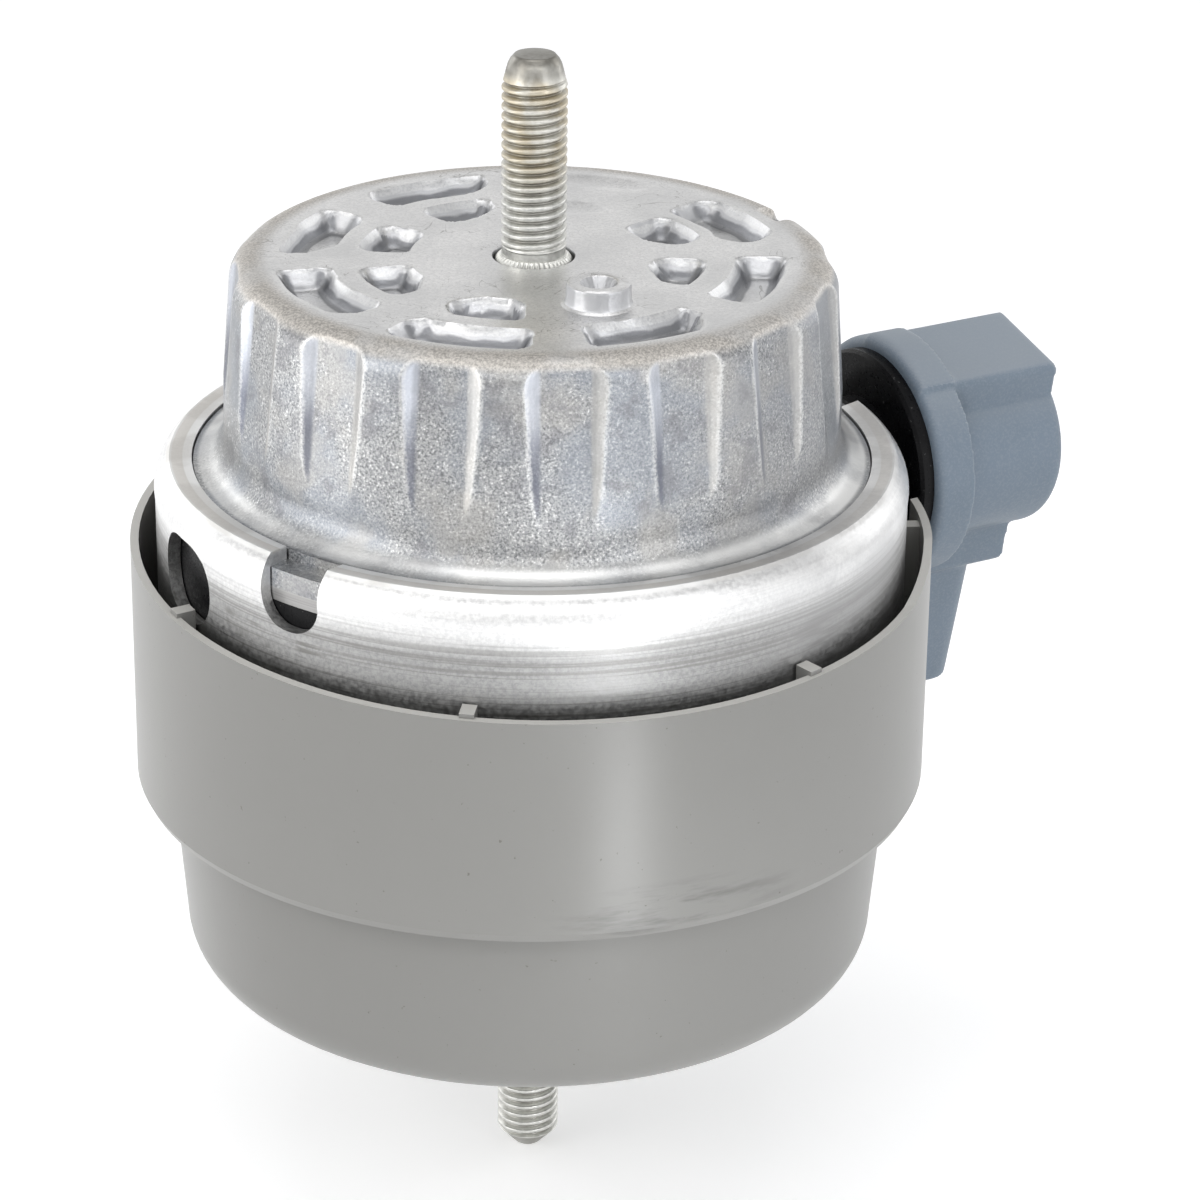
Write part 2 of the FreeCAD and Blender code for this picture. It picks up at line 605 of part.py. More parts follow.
def neck_tool():
    """Hole that the solenoid's neck passes through, which breaks out through the rim."""
    start = HOUSING_BORE_R - THROUGH / 2
    return on_port(Part.makeCylinder(PORT_HOLE_R, THROUGH, FreeCAD.Vector(0, 0, start), AXIS))


def cap_shell():
    """Cap without its pockets: flange, flare, wall, rounded top edge and the hollow under it."""
    edge = (CAP_TOP_R - CAP_EDGE_ROUND, CAP_TOP_Z - CAP_EDGE_ROUND)
    flare_z = FLANGE_TOP_Z + CAP_FLARE_RISE
    flare_round = CAP_FLARE_R - CAP_FOOT_R
    flare_corner = (CAP_FLARE_R, flare_z + flare_round)
    inner_foot_r = CAP_FOOT_R - CAP_WALL
    inner_top_r = CAP_TOP_R - CAP_WALL
    ceiling_z = CAP_TOP_Z - CAP_TOP_WALL
    bead_z = FLANGE_BOTTOM_Z + BELLOWS_BEAD_HEIGHT
    return turned(
        (BELLOWS_BEAD_R + STACK_GAP, FLANGE_BOTTOM_Z),
        (STACK_R, FLANGE_BOTTOM_Z),
        (STACK_R, FLANGE_TOP_Z),
        (CAP_FLARE_R, FLANGE_TOP_Z),
        (CAP_FLARE_R, flare_z),
        (round_corner(flare_corner, flare_round, -135), (CAP_FOOT_R, flare_corner[1])),
        (CAP_FOOT_R, CAP_FOOT_Z),
        (CAP_TOP_R, edge[1]),
        (round_corner(edge, CAP_EDGE_ROUND, 45), (edge[0], CAP_TOP_Z)),
        (CAP_COLLAR_HOLE_R, CAP_TOP_Z),
        (CAP_COLLAR_HOLE_R, CAP_TOP_Z - CAP_COLLAR_HOLE_DEPTH),
        (STUD_PRESS_R, CAP_TOP_Z - CAP_COLLAR_HOLE_DEPTH),
        (STUD_PRESS_R, CAP_STUD_BOSS_Z),
        (CAP_STUD_BOSS_R, CAP_STUD_BOSS_Z),
        (CAP_STUD_BOSS_R, ceiling_z),
        (inner_top_r - CAP_INNER_ROUND, ceiling_z),
        (inner_top_r, ceiling_z - CAP_INNER_ROUND),
        (inner_foot_r, bead_z + CAP_INNER_BEVEL),
        (BELLOWS_BEAD_INNER_R, bead_z),
        (BELLOWS_BEAD_R + STACK_GAP, bead_z))


def sector_wire(inner_r, outer_r, half_angle, z):
    """Outline of a ring sector about +X at one height."""
    return Part.Wire([
        Part.Arc(at(inner_r, -half_angle, z), at(inner_r, 0, z), at(inner_r, half_angle, z)).toShape(),
        Part.makeLine(at(inner_r, half_angle, z), at(outer_r, half_angle, z)),
        Part.Arc(at(outer_r, half_angle, z), at(outer_r, 0, z), at(outer_r, -half_angle, z)).toShape(),
        Part.makeLine(at(outer_r, -half_angle, z), at(inner_r, -half_angle, z))])


def pocket(outer_r, width, centre_angle, width_angle):
    """Tool for a shallow pocket of the cap's top: a ring sector with four sloping walls."""
    inner_r = outer_r - width
    half = width_angle / 2
    slope_angle = math.degrees(2 * CAP_POCKET_SLOPE / (inner_r + outer_r))
    tool = Part.makeLoft([
        sector_wire(inner_r, outer_r, half, CAP_TOP_Z + OVERCUT),
        sector_wire(
            inner_r + CAP_POCKET_SLOPE, outer_r - CAP_POCKET_SLOPE, half - slope_angle,
            CAP_TOP_Z - CAP_POCKET_DEPTH)], True, True)
    tool.rotate(FreeCAD.Vector(0, 0, 0), AXIS, centre_angle)
    return tool


def cap_pockets():
    """Two rings of pockets. The locating boss takes the place of one inner pocket."""
    pitch = 360 / CAP_SECTORS
    boss_sector = round((KEY_BOSS_ANGLE - PORT_ANGLE) / pitch) % CAP_SECTORS
    tools = []
    for k in range(CAP_SECTORS):
        angle = PORT_ANGLE + k * pitch
        tools.append(pocket(CAP_OUTER_POCKET_R, CAP_OUTER_POCKET_WIDTH, angle, CAP_OUTER_POCKET_ANGLE))
        if k != boss_sector:
            tools.append(pocket(CAP_INNER_POCKET_R, CAP_INNER_POCKET_WIDTH, angle, CAP_INNER_POCKET_ANGLE))
    return tools


def side_panel(angle):
    """Tool for one recessed panel of the cap's side: it starts at the wall's foot and deepens up to the top edge."""
    foot = CAP_PANEL_FLOOR_WIDTH / 2
    slope = (CAP_PANEL_WIDTH - CAP_PANEL_FLOOR_WIDTH) / 2 / CAP_PANEL_DEPTH
    foot_z = CAP_TOP_Z - CAP_PANEL_HEIGHT
    mouth = foot + slope * THROUGH
    section = Part.Face(Part.makePolygon([
        FreeCAD.Vector(CAP_FOOT_R, -foot, foot_z),
        FreeCAD.Vector(CAP_FOOT_R + THROUGH, -mouth, foot_z),
        FreeCAD.Vector(CAP_FOOT_R + THROUGH, mouth, foot_z),
        FreeCAD.Vector(CAP_FOOT_R, foot, foot_z),
        FreeCAD.Vector(CAP_FOOT_R, -foot, foot_z)]))
    lean = (CAP_TOP_R - CAP_PANEL_DEPTH - CAP_FOOT_R) / CAP_PANEL_HEIGHT
    length = CAP_PANEL_HEIGHT + BEVEL
    tool = section.extrude(FreeCAD.Vector(lean * length, 0, length))
    tool.rotate(FreeCAD.Vector(0, 0, 0), AXIS, angle)
    return tool


def key_boss():
    """Locating boss on the cap's top, and the tool for the cone-shaped recess in it."""
    top_z = CAP_TOP_Z + KEY_BOSS_HEIGHT
    centre = at(KEY_BOSS_DISTANCE, KEY_BOSS_ANGLE, 0)
    boss = turned(
        (0, CAP_TOP_Z - BEVEL),
        (KEY_BOSS_FOOT_R, CAP_TOP_Z - BEVEL),
        (KEY_BOSS_FOOT_R, CAP_TOP_Z),
        (KEY_BOSS_TOP_R, CAP_TOP_Z + BEVEL),
        (KEY_BOSS_TOP_R, top_z - EDGE_BREAK),
        (KEY_BOSS_TOP_R - EDGE_BREAK, top_z),
        (0, top_z))
    recess = Part.makeCone(
        KEY_RECESS_FLOOR_R, KEY_RECESS_R, KEY_RECESS_DEPTH,
        FreeCAD.Vector(0, 0, top_z - KEY_RECESS_DEPTH), AXIS)
    for shape in (boss, recess):
        shape.translate(centre)
    return boss, recess


def top_cap():
    """Die-cast cap with recessed side panels, pockets, the locating boss and a notch over the port."""
    shape = cap_shell()
    panel_pitch = 360 / CAP_PANELS
    tools = cap_pockets()
    tools += [side_panel(PORT_ANGLE + k * panel_pitch) for k in range(CAP_PANELS)]
    shape = shape.cut(tools)
    boss, recess = key_boss()
    shape = shape.fuse(boss).cut(recess)
    notch = Part.makeBox(
        CAP_TOP_R, EDGE_NOTCH_WIDTH, 2 * EDGE_NOTCH_DEPTH,
        FreeCAD.Vector(EDGE_NOTCH_START_R, -EDGE_NOTCH_WIDTH / 2, CAP_TOP_Z - EDGE_NOTCH_DEPTH))
    notch.rotate(FreeCAD.Vector(0, 0, 0), AXIS, PORT_ANGLE)
    return shape.cut(notch)


def top_stud():
    """M10 stud pressed up through the cap, with a head inside and a plain tapered end."""
    head_z = CAP_STUD_BOSS_Z
    press_r = STUD_PRESS_R - PRESS_GAP
    collar_foot_z = CAP_TOP_Z - CAP_COLLAR_HOLE_DEPTH
    return turned(
        (0, head_z - TOP_STUD_HEAD_HEIGHT),
        (TOP_STUD_HEAD_R, head_z - TOP_STUD_HEAD_HEIGHT),
        (TOP_STUD_HEAD_R, head_z),
        (press_r, head_z),
        (press_r, collar_foot_z),
        (TOP_STUD_COLLAR_R, collar_foot_z),
        (TOP_STUD_COLLAR_R, CAP_TOP_Z),
        (STUD_NECK_R, CAP_TOP_Z + STUD_NECK_LENGTH / 2),
        (STUD_NECK_R, CAP_TOP_Z + STUD_NECK_LENGTH),
        (STUD_R, CAP_TOP_Z + STUD_NECK_LENGTH + STUD_R - STUD_NECK_R),
        (STUD_R, TOP_STUD_TIP_Z - TOP_STUD_TAPER_LENGTH),
        (TOP_STUD_TAPER_R, TOP_STUD_TIP_Z - TOP_STUD_TIP_BEVEL),
        (TOP_STUD_TIP_R, TOP_STUD_TIP_Z),
        (0, TOP_STUD_TIP_Z))


def bellows():
    """Rubber compensation chamber: a side wall, one rolling fold and a crown, with a bead round its foot."""
    half = BELLOWS_WALL / 2
    bead_z = FLANGE_BOTTOM_Z
    bead_top = bead_z + BELLOWS_BEAD_HEIGHT - STACK_GAP
    fold = (BELLOWS_SIDE_R - BELLOWS_FOLD_R, BELLOWS_FOLD_Z)
    valley = (fold[0] - 2 * BELLOWS_FOLD_R, BELLOWS_VALLEY_Z)
    crown = (valley[0] - BELLOWS_FOLD_R - BELLOWS_CROWN_ROUND, BELLOWS_CROWN_Z - BELLOWS_CROWN_ROUND)
    tight = BELLOWS_FOLD_R - half
    wide = BELLOWS_FOLD_R + half
    crown_inside = BELLOWS_CROWN_ROUND - half
    crown_outside = BELLOWS_CROWN_ROUND + half
    return turned(
        (BELLOWS_BEAD_R, bead_z),
        (BELLOWS_BEAD_R, bead_top),
        (BELLOWS_BEAD_INNER_R, bead_top),
        (BELLOWS_SIDE_R + half, bead_top + BELLOWS_WALL),
        (fold[0] + wide, fold[1]),
        (round_corner(fold, wide, 90), (fold[0] - wide, fold[1])),
        (valley[0] + tight, valley[1]),
        (round_corner(valley, tight, -90), (valley[0] - tight, valley[1])),
        (valley[0] - tight, crown[1]),
        (round_corner(crown, crown_outside, 45), (crown[0], crown[1] + crown_outside)),
        (0, crown[1] + crown_outside),
        (0, crown[1] + crown_inside),
        (crown[0], crown[1] + crown_inside),
        (round_corner(crown, crown_inside, 45), (valley[0] - wide, crown[1])),
        (valley[0] - wide, valley[1]),
        (round_corner(valley, wide, -90), (valley[0] + wide, valley[1])),
        (fold[0] - tight, fold[1]),
        (round_corner(fold, tight, 90), (fold[0] + tight, fold[1])),
        (fold[0] + tight, bead_z))


def upper_nozzle_plate():
    """Metal plate over the channel body, with a grille over the membrane and the channel's outlet."""
    plate = disc(STACK_R, PLATE_BOTTOM_Z, FLANGE_BOTTOM_Z)
    holes = [Part.makeCylinder(GRILLE_HOLE_R, UPPER_PLATE_THICKNESS, FreeCAD.Vector(0, 0, PLATE_BOTTOM_Z), AXIS)]
    for k in range(GRILLE_HOLES):
        holes.append(Part.makeCylinder(
            GRILLE_HOLE_R, UPPER_PLATE_THICKNESS,
            at(GRILLE_CIRCLE_R, PORT_ANGLE + k * 360 / GRILLE_HOLES, PLATE_BOTTOM_Z), AXIS))
    holes.append(Part.makeCylinder(TRACK_PORT_R, UPPER_PLATE_THICKNESS, track_end(1, PLATE_BOTTOM_Z), AXIS))
    return plate.cut(holes)


def track_end(side, z):
    """Centre of the channel's port on one side of the web under the solenoid."""
    middle_r = (TRACK_INNER_R + TRACK_OUTER_R) / 2
    port_angle = math.degrees(TRACK_PORT_SHIFT / middle_r)
    return at(middle_r, PORT_ANGLE + side * (TRACK_GAP_ANGLE / 2 + port_angle), z)


def nozzle_body():
    """Channel body: membrane pocket, air chamber, the long channel and the bore for the valve."""
    pocket_z = PLATE_BOTTOM_Z - MEMBRANE_POCKET_DEPTH
    chamber_z = pocket_z - AIR_CHAMBER_DEPTH
    dish_z = NOZZLE_BODY_BOTTOM_Z + NOZZLE_DISH_DEPTH
    body = turned(
        (0, dish_z),
        (NOZZLE_DISH_R - NOZZLE_DISH_DEPTH, dish_z),
        (NOZZLE_DISH_R, NOZZLE_BODY_BOTTOM_Z),
        (STACK_R, NOZZLE_BODY_BOTTOM_Z),
        (STACK_R, PLATE_BOTTOM_Z),
        (MEMBRANE_R + MEMBRANE_GAP, PLATE_BOTTOM_Z),
        (MEMBRANE_R + MEMBRANE_GAP, pocket_z),
        (AIR_CHAMBER_R, pocket_z),
        (AIR_CHAMBER_R, chamber_z),
        (0, chamber_z))
    track = outline(
        (TRACK_INNER_R, PLATE_BOTTOM_Z - TRACK_DEPTH),
        (TRACK_OUTER_R, PLATE_BOTTOM_Z - TRACK_DEPTH),
        (TRACK_OUTER_R, PLATE_BOTTOM_Z),
        (TRACK_INNER_R, PLATE_BOTTOM_Z)).revolve(FreeCAD.Vector(0, 0, 0), AXIS, 360 - TRACK_GAP_ANGLE)
    track.rotate(FreeCAD.Vector(0, 0, 0), AXIS, PORT_ANGLE + TRACK_GAP_ANGLE / 2)
    inlet = Part.makeCylinder(TRACK_PORT_R, TRACK_DEPTH * 2, track_end(-1, PLATE_BOTTOM_Z - TRACK_DEPTH * 2), AXIS)
    bore = on_port(Part.makeCylinder(
        NOSE_R + NOSE_GAP, STACK_R, FreeCAD.Vector(0, 0, NOSE_INNER - NOSE_END_GAP), AXIS))
    duct = on_port(Part.makeCylinder(
        AIR_DUCT_R, NOSE_INNER, FreeCAD.Vector(0, 0, AIR_CHAMBER_R - BEVEL), AXIS))
    return body.cut([track, inlet, bore, duct])


def decoupler_membrane():
    """Rubber disc with a bead round its edge, loose by a small gap between the two plates."""
    middle_z = PLATE_BOTTOM_Z - MEMBRANE_POCKET_DEPTH / 2
    bead = MEMBRANE_BEAD / 2
    thin = MEMBRANE_DISC / 2
    bead_r = MEMBRANE_R - MEMBRANE_BEAD_WIDTH
    return turned(
        (0, middle_z - thin),
        (bead_r - BEVEL, middle_z - thin),
        (bead_r, middle_z - bead),
        (MEMBRANE_R, middle_z - bead),
        (MEMBRANE_R, middle_z + bead),
        (bead_r, middle_z + bead),
        (bead_r - BEVEL, middle_z + thin),
        (0, middle_z + thin))


def support_ring():
    """Metal ring that the rubber is bonded to, with a groove for the seal in its top face."""
    groove_z = NOZZLE_BODY_BOTTOM_Z - SEAL_GROOVE_DEPTH
    return turned(
        (RING_BOTTOM_R, RING_BOTTOM_Z),
        (STACK_R, RING_BOTTOM_Z),
        (STACK_R, NOZZLE_BODY_BOTTOM_Z),
        (SEAL_OUTER_R, NOZZLE_BODY_BOTTOM_Z),
        (SEAL_OUTER_R, groove_z),
        (SEAL_INNER_R, groove_z),
        (SEAL_INNER_R, NOZZLE_BODY_BOTTOM_Z),
        (RING_TOP_R, NOZZLE_BODY_BOTTOM_Z))


def plate_seal():
    """Rubber ring in the support ring's groove."""
    return tube(
        SEAL_OUTER_R - STACK_GAP, SEAL_INNER_R + STACK_GAP,
        NOZZLE_BODY_BOTTOM_Z - SEAL_GROOVE_DEPTH, NOZZLE_BODY_BOTTOM_Z)


def rubber_spring():
    """Conical rubber block between the core and the support ring, hollow towards the fluid."""
    foot_z = CORE_CONE_Z + RUBBER_FOOT_RISE
    neck_z = CORE_TOP_Z - CORE_TOP_ROUND - RUBBER_NECK_DROP
    rim_z = RING_BOTTOM_Z + RUBBER_END_MARGIN
    roof_z = NOZZLE_BODY_BOTTOM_Z - RUBBER_END_MARGIN
    underside = (RING_BOTTOM_R - RUBBER_UNDERSIDE_INSET, RING_BOTTOM_Z - RUBBER_UNDERSIDE_DROP)
    roof = (RING_TOP_R - RUBBER_ROOF_INSET, CORE_TOP_Z + RUBBER_ROOF_RISE)
    return turned(
        (core_cone_r(foot_z) + BOND_GAP, foot_z),
        (underside, (ring_cone_r(rim_z) - BOND_GAP, rim_z)),
        (ring_cone_r(roof_z) - BOND_GAP, roof_z),
        (roof, (core_cone_r(neck_z) + BOND_GAP, neck_z)))


def solenoid_flange():
    """Black flange, neck and hollow nose that carry the valve into the housing."""
    return on_port(turned(
        (NOSE_BORE_R, NOSE_INNER),
        (NOSE_R - EDGE_BREAK, NOSE_INNER),
        (NOSE_R, NOSE_INNER + EDGE_BREAK),
        (NOSE_R, NOSE_SEAL_AT - PRESS_GAP),
        (NOSE_R - NOSE_SEAL_DEPTH, NOSE_SEAL_AT - PRESS_GAP),
        (NOSE_R - NOSE_SEAL_DEPTH, NOSE_SEAL_AT + NOSE_SEAL_WIDTH + PRESS_GAP),
        (NOSE_R, NOSE_SEAL_AT + NOSE_SEAL_WIDTH + PRESS_GAP),
        (NOSE_R, NECK_INNER),
        (NECK_R - BEVEL, NECK_INNER),
        (NECK_R, NECK_INNER + BEVEL),
        (NECK_R, FLANGE_INNER),
        (FLANGE_R - EDGE_BREAK, FLANGE_INNER),
        (FLANGE_R, FLANGE_INNER + EDGE_BREAK),
        (FLANGE_R, FLANGE_OUTER),
        (VALVE_POCKET_R, FLANGE_OUTER),
        (VALVE_POCKET_R, VALVE_SEAT),
        (NOSE_BORE_R, VALVE_SEAT)))


def nose_seal():
    """Rubber ring in the groove of the nose."""
    return on_port(tube(
        NOSE_R, NOSE_R - NOSE_SEAL_DEPTH, NOSE_SEAL_AT, NOSE_SEAL_AT + NOSE_SEAL_WIDTH))


def coil_end():
    """Distance of the inner face of the solenoid body's end wall from the mount's axis."""
    return FLANGE_OUTER + BODY_BARREL_LENGTH - BODY_END_WALL


def collar_solid(face_r, outer_r, end):
    """Round collar behind the flange, whose front edge is rounded from the face to its full radius."""
    reach = outer_r - face_r
    corner = (face_r, FLANGE_OUTER + reach)
    return turned(
        (0, FLANGE_OUTER),
        (face_r, FLANGE_OUTER),
        (round_corner(corner, reach, -45), (outer_r, corner[1])),
        (outer_r, end),
        (0, end))


def solenoid_housing():
    """Moulded body: collar, barrel, box on top, root block below and the plug shroud."""
    half = BODY_BOX_WIDTH / 2
    collar_end = FLANGE_OUTER + BODY_COLLAR_LENGTH
    barrel = Part.makeCylinder(BODY_BARREL_R, BODY_BARREL_LENGTH, FreeCAD.Vector(0, 0, FLANGE_OUTER), AXIS)
    barrel = barrel.makeFillet(BODY_END_ROUND, [barrel.Edges[0]])
    face_r = FLANGE_R + BODY_COLLAR_FACE_STEP
    collar = collar_solid(face_r, BODY_COLLAR_R, collar_end)
    crown = collar_solid(face_r + BODY_CROWN_RISE, BODY_CROWN_R, collar_end)
    crown = crown.common(block((0, BODY_CROWN_R), (-half, half), (FLANGE_OUTER, collar_end)))
    box = block((0, BODY_BOX_TOP), (-half, half), (FLANGE_OUTER, FLANGE_OUTER + BODY_BOX_LENGTH))
    box = box.makeFillet(BODY_ROUND, upper_edges(box, BODY_BOX_TOP))
    root = block((BODY_ROOT_BOTTOM, 0), (-half, half), (FLANGE_OUTER, FLANGE_OUTER + BODY_ROOT_LENGTH))
    root = root.makeFillet(BODY_ROUND, upper_edges(root, BODY_ROOT_BOTTOM))
    body = barrel.fuse([collar, crown, box, root, shroud_outside()])
    cavity_r = BODY_BARREL_R - BODY_WALL
    cavity = Part.makeCylinder(
        cavity_r, coil_end() - FLANGE_OUTER, FreeCAD.Vector(0, 0, FLANGE_OUTER), AXIS)
    tools = [cavity, shroud_inside()]
    for side in (-1, 1):
        tools.append(blade(side, BLADE_GAP))
    return on_port(body.cut(tools))


def upper_edges(shape, level):
    """Edges round the face of a block that lies at one level of its first axis."""
    return [e for e in shape.Edges if all(abs(v.X - level) < TINY for v in e.Vertexes)]


def shroud_block(shrink, low, high):
    """Upright block with rounded corners, shared by the shroud's outside and its hollow."""
    half = SHROUD_WIDTH / 2 - shrink
    solid = block((low, high), (-half, half), (SHROUD_INNER + shrink, SHROUD_OUTER - shrink))
    return solid.makeFillet(SHROUD_ROUND - shrink, edges_along_x(solid))


def shroud_outside():
    """Outside of the plug shroud."""
    return shroud_block(0, SHROUD_BOTTOM, 0)


def shroud_inside():
    """Hollow that the plug goes into, open at the bottom."""
    return shroud_block(SHROUD_WALL, SHROUD_BOTTOM - BEVEL, SHROUD_FLOOR)


def blade(side, grow):
    """One terminal blade, or with grow its slot."""
    middle = (SHROUD_INNER + SHROUD_OUTER) / 2
    centre = side * BLADE_PITCH / 2
    thick = BLADE_THICKNESS / 2 + grow
    wide = BLADE_WIDTH / 2 + grow
    return block(
        (BLADE_TIP, BLADE_ROOT + grow), (centre - wide, centre + wide), (middle - thick, middle + thick))


def solenoid_yoke():
    """Steel pot round the winding, with a hole in its end for the pole piece."""
    outer_r = BODY_BARREL_R - BODY_WALL - YOKE_GAP
    outer_end = coil_end() - PRESS_GAP
    inner_end = FLANGE_OUTER + WASHER_THICKNESS
    return on_port(turned(
        (outer_r - YOKE_WALL, inner_end),
        (outer_r, inner_end),
        (outer_r, outer_end),
        (BOBBIN_BORE_R, outer_end),
        (BOBBIN_BORE_R, outer_end - YOKE_WALL),
        (outer_r - YOKE_WALL, outer_end - YOKE_WALL)))


def yoke_washer():
    """Steel washer that closes the pot on the valve's side."""
    outer_r = BODY_BARREL_R - BODY_WALL - YOKE_GAP
    inner_r = BOBBIN_BORE_R + BOBBIN_TUBE
    return on_port(tube(outer_r, inner_r, FLANGE_OUTER, FLANGE_OUTER + WASHER_THICKNESS))


def bobbin_limits():
    """Inner and outer end of the spool along the solenoid's axis, and the radius of its flanges."""
    inner_end = FLANGE_OUTER + WASHER_THICKNESS
    outer_end = coil_end() - PRESS_GAP - YOKE_WALL
    flange_r = BODY_BARREL_R - BODY_WALL - YOKE_GAP - YOKE_WALL - BOBBIN_GAP
    return inner_end, outer_end, flange_r


def coil_bobbin():
    """Plastic spool whose bore guides the plunger."""
    inner_end, outer_end, flange_r = bobbin_limits()
    tube_r = BOBBIN_BORE_R + BOBBIN_TUBE
    return on_port(turned(
        (BOBBIN_BORE_R, inner_end),
        (flange_r, inner_end),
        (flange_r, inner_end + BOBBIN_FLANGE),
        (tube_r, inner_end + BOBBIN_FLANGE),
        (tube_r, outer_end - BOBBIN_FLANGE),
        (flange_r, outer_end - BOBBIN_FLANGE),
        (flange_r, outer_end),
        (BOBBIN_BORE_R, outer_end)))


def coil_winding():
    """Copper winding on the spool."""
    inner_end, outer_end, flange_r = bobbin_limits()
    return on_port(tube(
        flange_r - WINDING_SHORT, BOBBIN_BORE_R + BOBBIN_TUBE + WINDING_GAP,
        inner_end + BOBBIN_FLANGE, outer_end - BOBBIN_FLANGE))


def plunger_back():
    """Outer end of the plunger at rest."""
    return PLUNGER_TIP + PLUNGER_SHARE * (coil_end() - PLUNGER_TIP)


def pole_face():
    """Face of the pole piece that stops the plunger."""
    return plunger_back() + PLUNGER_TRAVEL + PLUNGER_STOP_GAP


def valve_plunger():
    """Steel plunger whose tip shuts the air bore, with a pocket for its spring."""
    back = plunger_back()
    radius = BOBBIN_BORE_R - PLUNGER_CLEARANCE
    return on_port(turned(
        (0, PLUNGER_TIP),
        (PLUNGER_TIP_R, PLUNGER_TIP),
        (PLUNGER_TIP_R, PLUNGER_TIP + PLUNGER_TIP_LENGTH),
        (radius, PLUNGER_TIP + PLUNGER_TIP_LENGTH),
        (radius, back),
        (SPRING_POCKET_R, back),
        (SPRING_POCKET_R, back - SPRING_POCKET_DEPTH),
        (0, back - SPRING_POCKET_DEPTH)))


def pole_piece():
    """Fixed steel core of the solenoid, with a pocket for the other end of the spring."""
    stop = pole_face()
    radius = BOBBIN_BORE_R - POLE_CLEARANCE
    end = coil_end() - PRESS_GAP
    return on_port(turned(
        (SPRING_POCKET_R, stop),
        (radius, stop),
        (radius, end),
        (0, end),
        (0, stop + SPRING_POCKET_DEPTH),
        (SPRING_POCKET_R, stop + SPRING_POCKET_DEPTH)))


def plunger_spring():
    """Coil spring between the plunger's pocket and the pole piece's."""
    start = plunger_back() - SPRING_POCKET_DEPTH + SPRING_WIRE_R + PRESS_GAP
    end = pole_face() + SPRING_POCKET_DEPTH - SPRING_WIRE_R - PRESS_GAP
    pitch = (end - start) / SPRING_TURNS
    path = Part.Wire(Part.makeHelix(pitch, end - start, SPRING_MEAN_R).Edges)
    section = Part.Wire(Part.makeCircle(
        SPRING_WIRE_R, FreeCAD.Vector(SPRING_MEAN_R, 0, 0), FreeCAD.Vector(0, 1, 0)))
    coil = path.makePipeShell([section], True, True)
    coil.translate(FreeCAD.Vector(0, 0, start))
    return on_port(coil)


def terminal_back():
    """Terminal blade on the far side of the plug shroud."""
    return on_port(blade(-1, 0))


def terminal_front():
    """Terminal blade on the near side of the plug shroud."""
    return on_port(blade(1, 0))


NODES = (
    top_stud, top_cap, bellows, upper_nozzle_plate, decoupler_membrane, nozzle_body, plate_seal,
    support_ring, rubber_spring, core, lower_stud, housing, heat_shield_cup, solenoid_flange,
    nose_seal, solenoid_housing, solenoid_yoke, yoke_washer, coil_bobbin, coil_winding, pole_piece,
    valve_plunger, plunger_spring, terminal_back, terminal_front)

for make in NODES:
    solid = make().Solids[0]
    print(make.__name__, solid.isValid(), round(solid.Volume, 1))
    solid.exportStep("parts/" + make.__name__ + ".step")
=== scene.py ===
"""Looks of the engine mount: finer meshes for the studs, cap and solenoid, materials, lamps and camera."""
import json
import math

import bpy
import numpy as np
from mathutils import Matrix, Vector


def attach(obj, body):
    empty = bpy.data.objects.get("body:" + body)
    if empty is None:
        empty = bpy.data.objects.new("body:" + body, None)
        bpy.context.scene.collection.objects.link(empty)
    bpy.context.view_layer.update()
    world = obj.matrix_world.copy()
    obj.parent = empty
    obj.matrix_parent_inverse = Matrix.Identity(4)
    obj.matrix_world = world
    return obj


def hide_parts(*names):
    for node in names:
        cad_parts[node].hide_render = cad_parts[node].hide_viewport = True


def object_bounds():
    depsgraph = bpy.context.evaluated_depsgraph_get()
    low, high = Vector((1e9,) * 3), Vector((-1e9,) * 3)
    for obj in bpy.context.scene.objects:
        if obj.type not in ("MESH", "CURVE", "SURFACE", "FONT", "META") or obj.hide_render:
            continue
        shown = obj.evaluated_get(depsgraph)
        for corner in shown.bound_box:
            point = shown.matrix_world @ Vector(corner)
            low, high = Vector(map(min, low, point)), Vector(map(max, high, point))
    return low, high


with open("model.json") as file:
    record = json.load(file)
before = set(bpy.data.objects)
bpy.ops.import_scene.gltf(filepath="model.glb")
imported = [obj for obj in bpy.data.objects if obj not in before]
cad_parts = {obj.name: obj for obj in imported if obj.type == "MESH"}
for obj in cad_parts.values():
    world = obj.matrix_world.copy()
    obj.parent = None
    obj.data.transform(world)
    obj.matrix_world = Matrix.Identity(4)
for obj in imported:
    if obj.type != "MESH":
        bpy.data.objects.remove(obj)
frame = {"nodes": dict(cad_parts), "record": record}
nodes = frame["nodes"]
cad_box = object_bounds()
MM = 0.001

# Sizes taken over from the CAD model, in millimetres
STUD_R = 4.95
STUD_NECK_R = 4.78
STUD_PRESS_R = 5.58
THREAD_PITCH = 1.5
THREAD_DEPTH = 0.68
TOP_Z = 116.9
TOP_STUD_TIP_Z = 148.3
PORT_ANGLE = 28.5
STUD_SEAT_Z = 106.0
COLLAR_FLOOR_Z = 113.9
CAP_TOP_R = 46.1
CAP_FOOT_R = 47.2
CAP_FOOT_Z = 97.0
CAP_FLARE_R = 51.9
CAP_EDGE_ROUND = 4.2
CAP_HOLE_R = 6.2
HOUSING_RIM_TOP_Z = 85.5
CUP_STEP_Z = 32.75
CUP_RIM_FRONT_Z = 68.2

# Noise scale that leaves the size of the grains to the place it reads
UNSCALED = 0.001


def node(tree, kind, **settings):
    """New shader node with its own settings."""
    made = tree.nodes.new("ShaderNode" + kind)
    for key, value in settings.items():
        setattr(made, key, value)
    return made


def link(tree, source, target):
    tree.links.new(source, target)


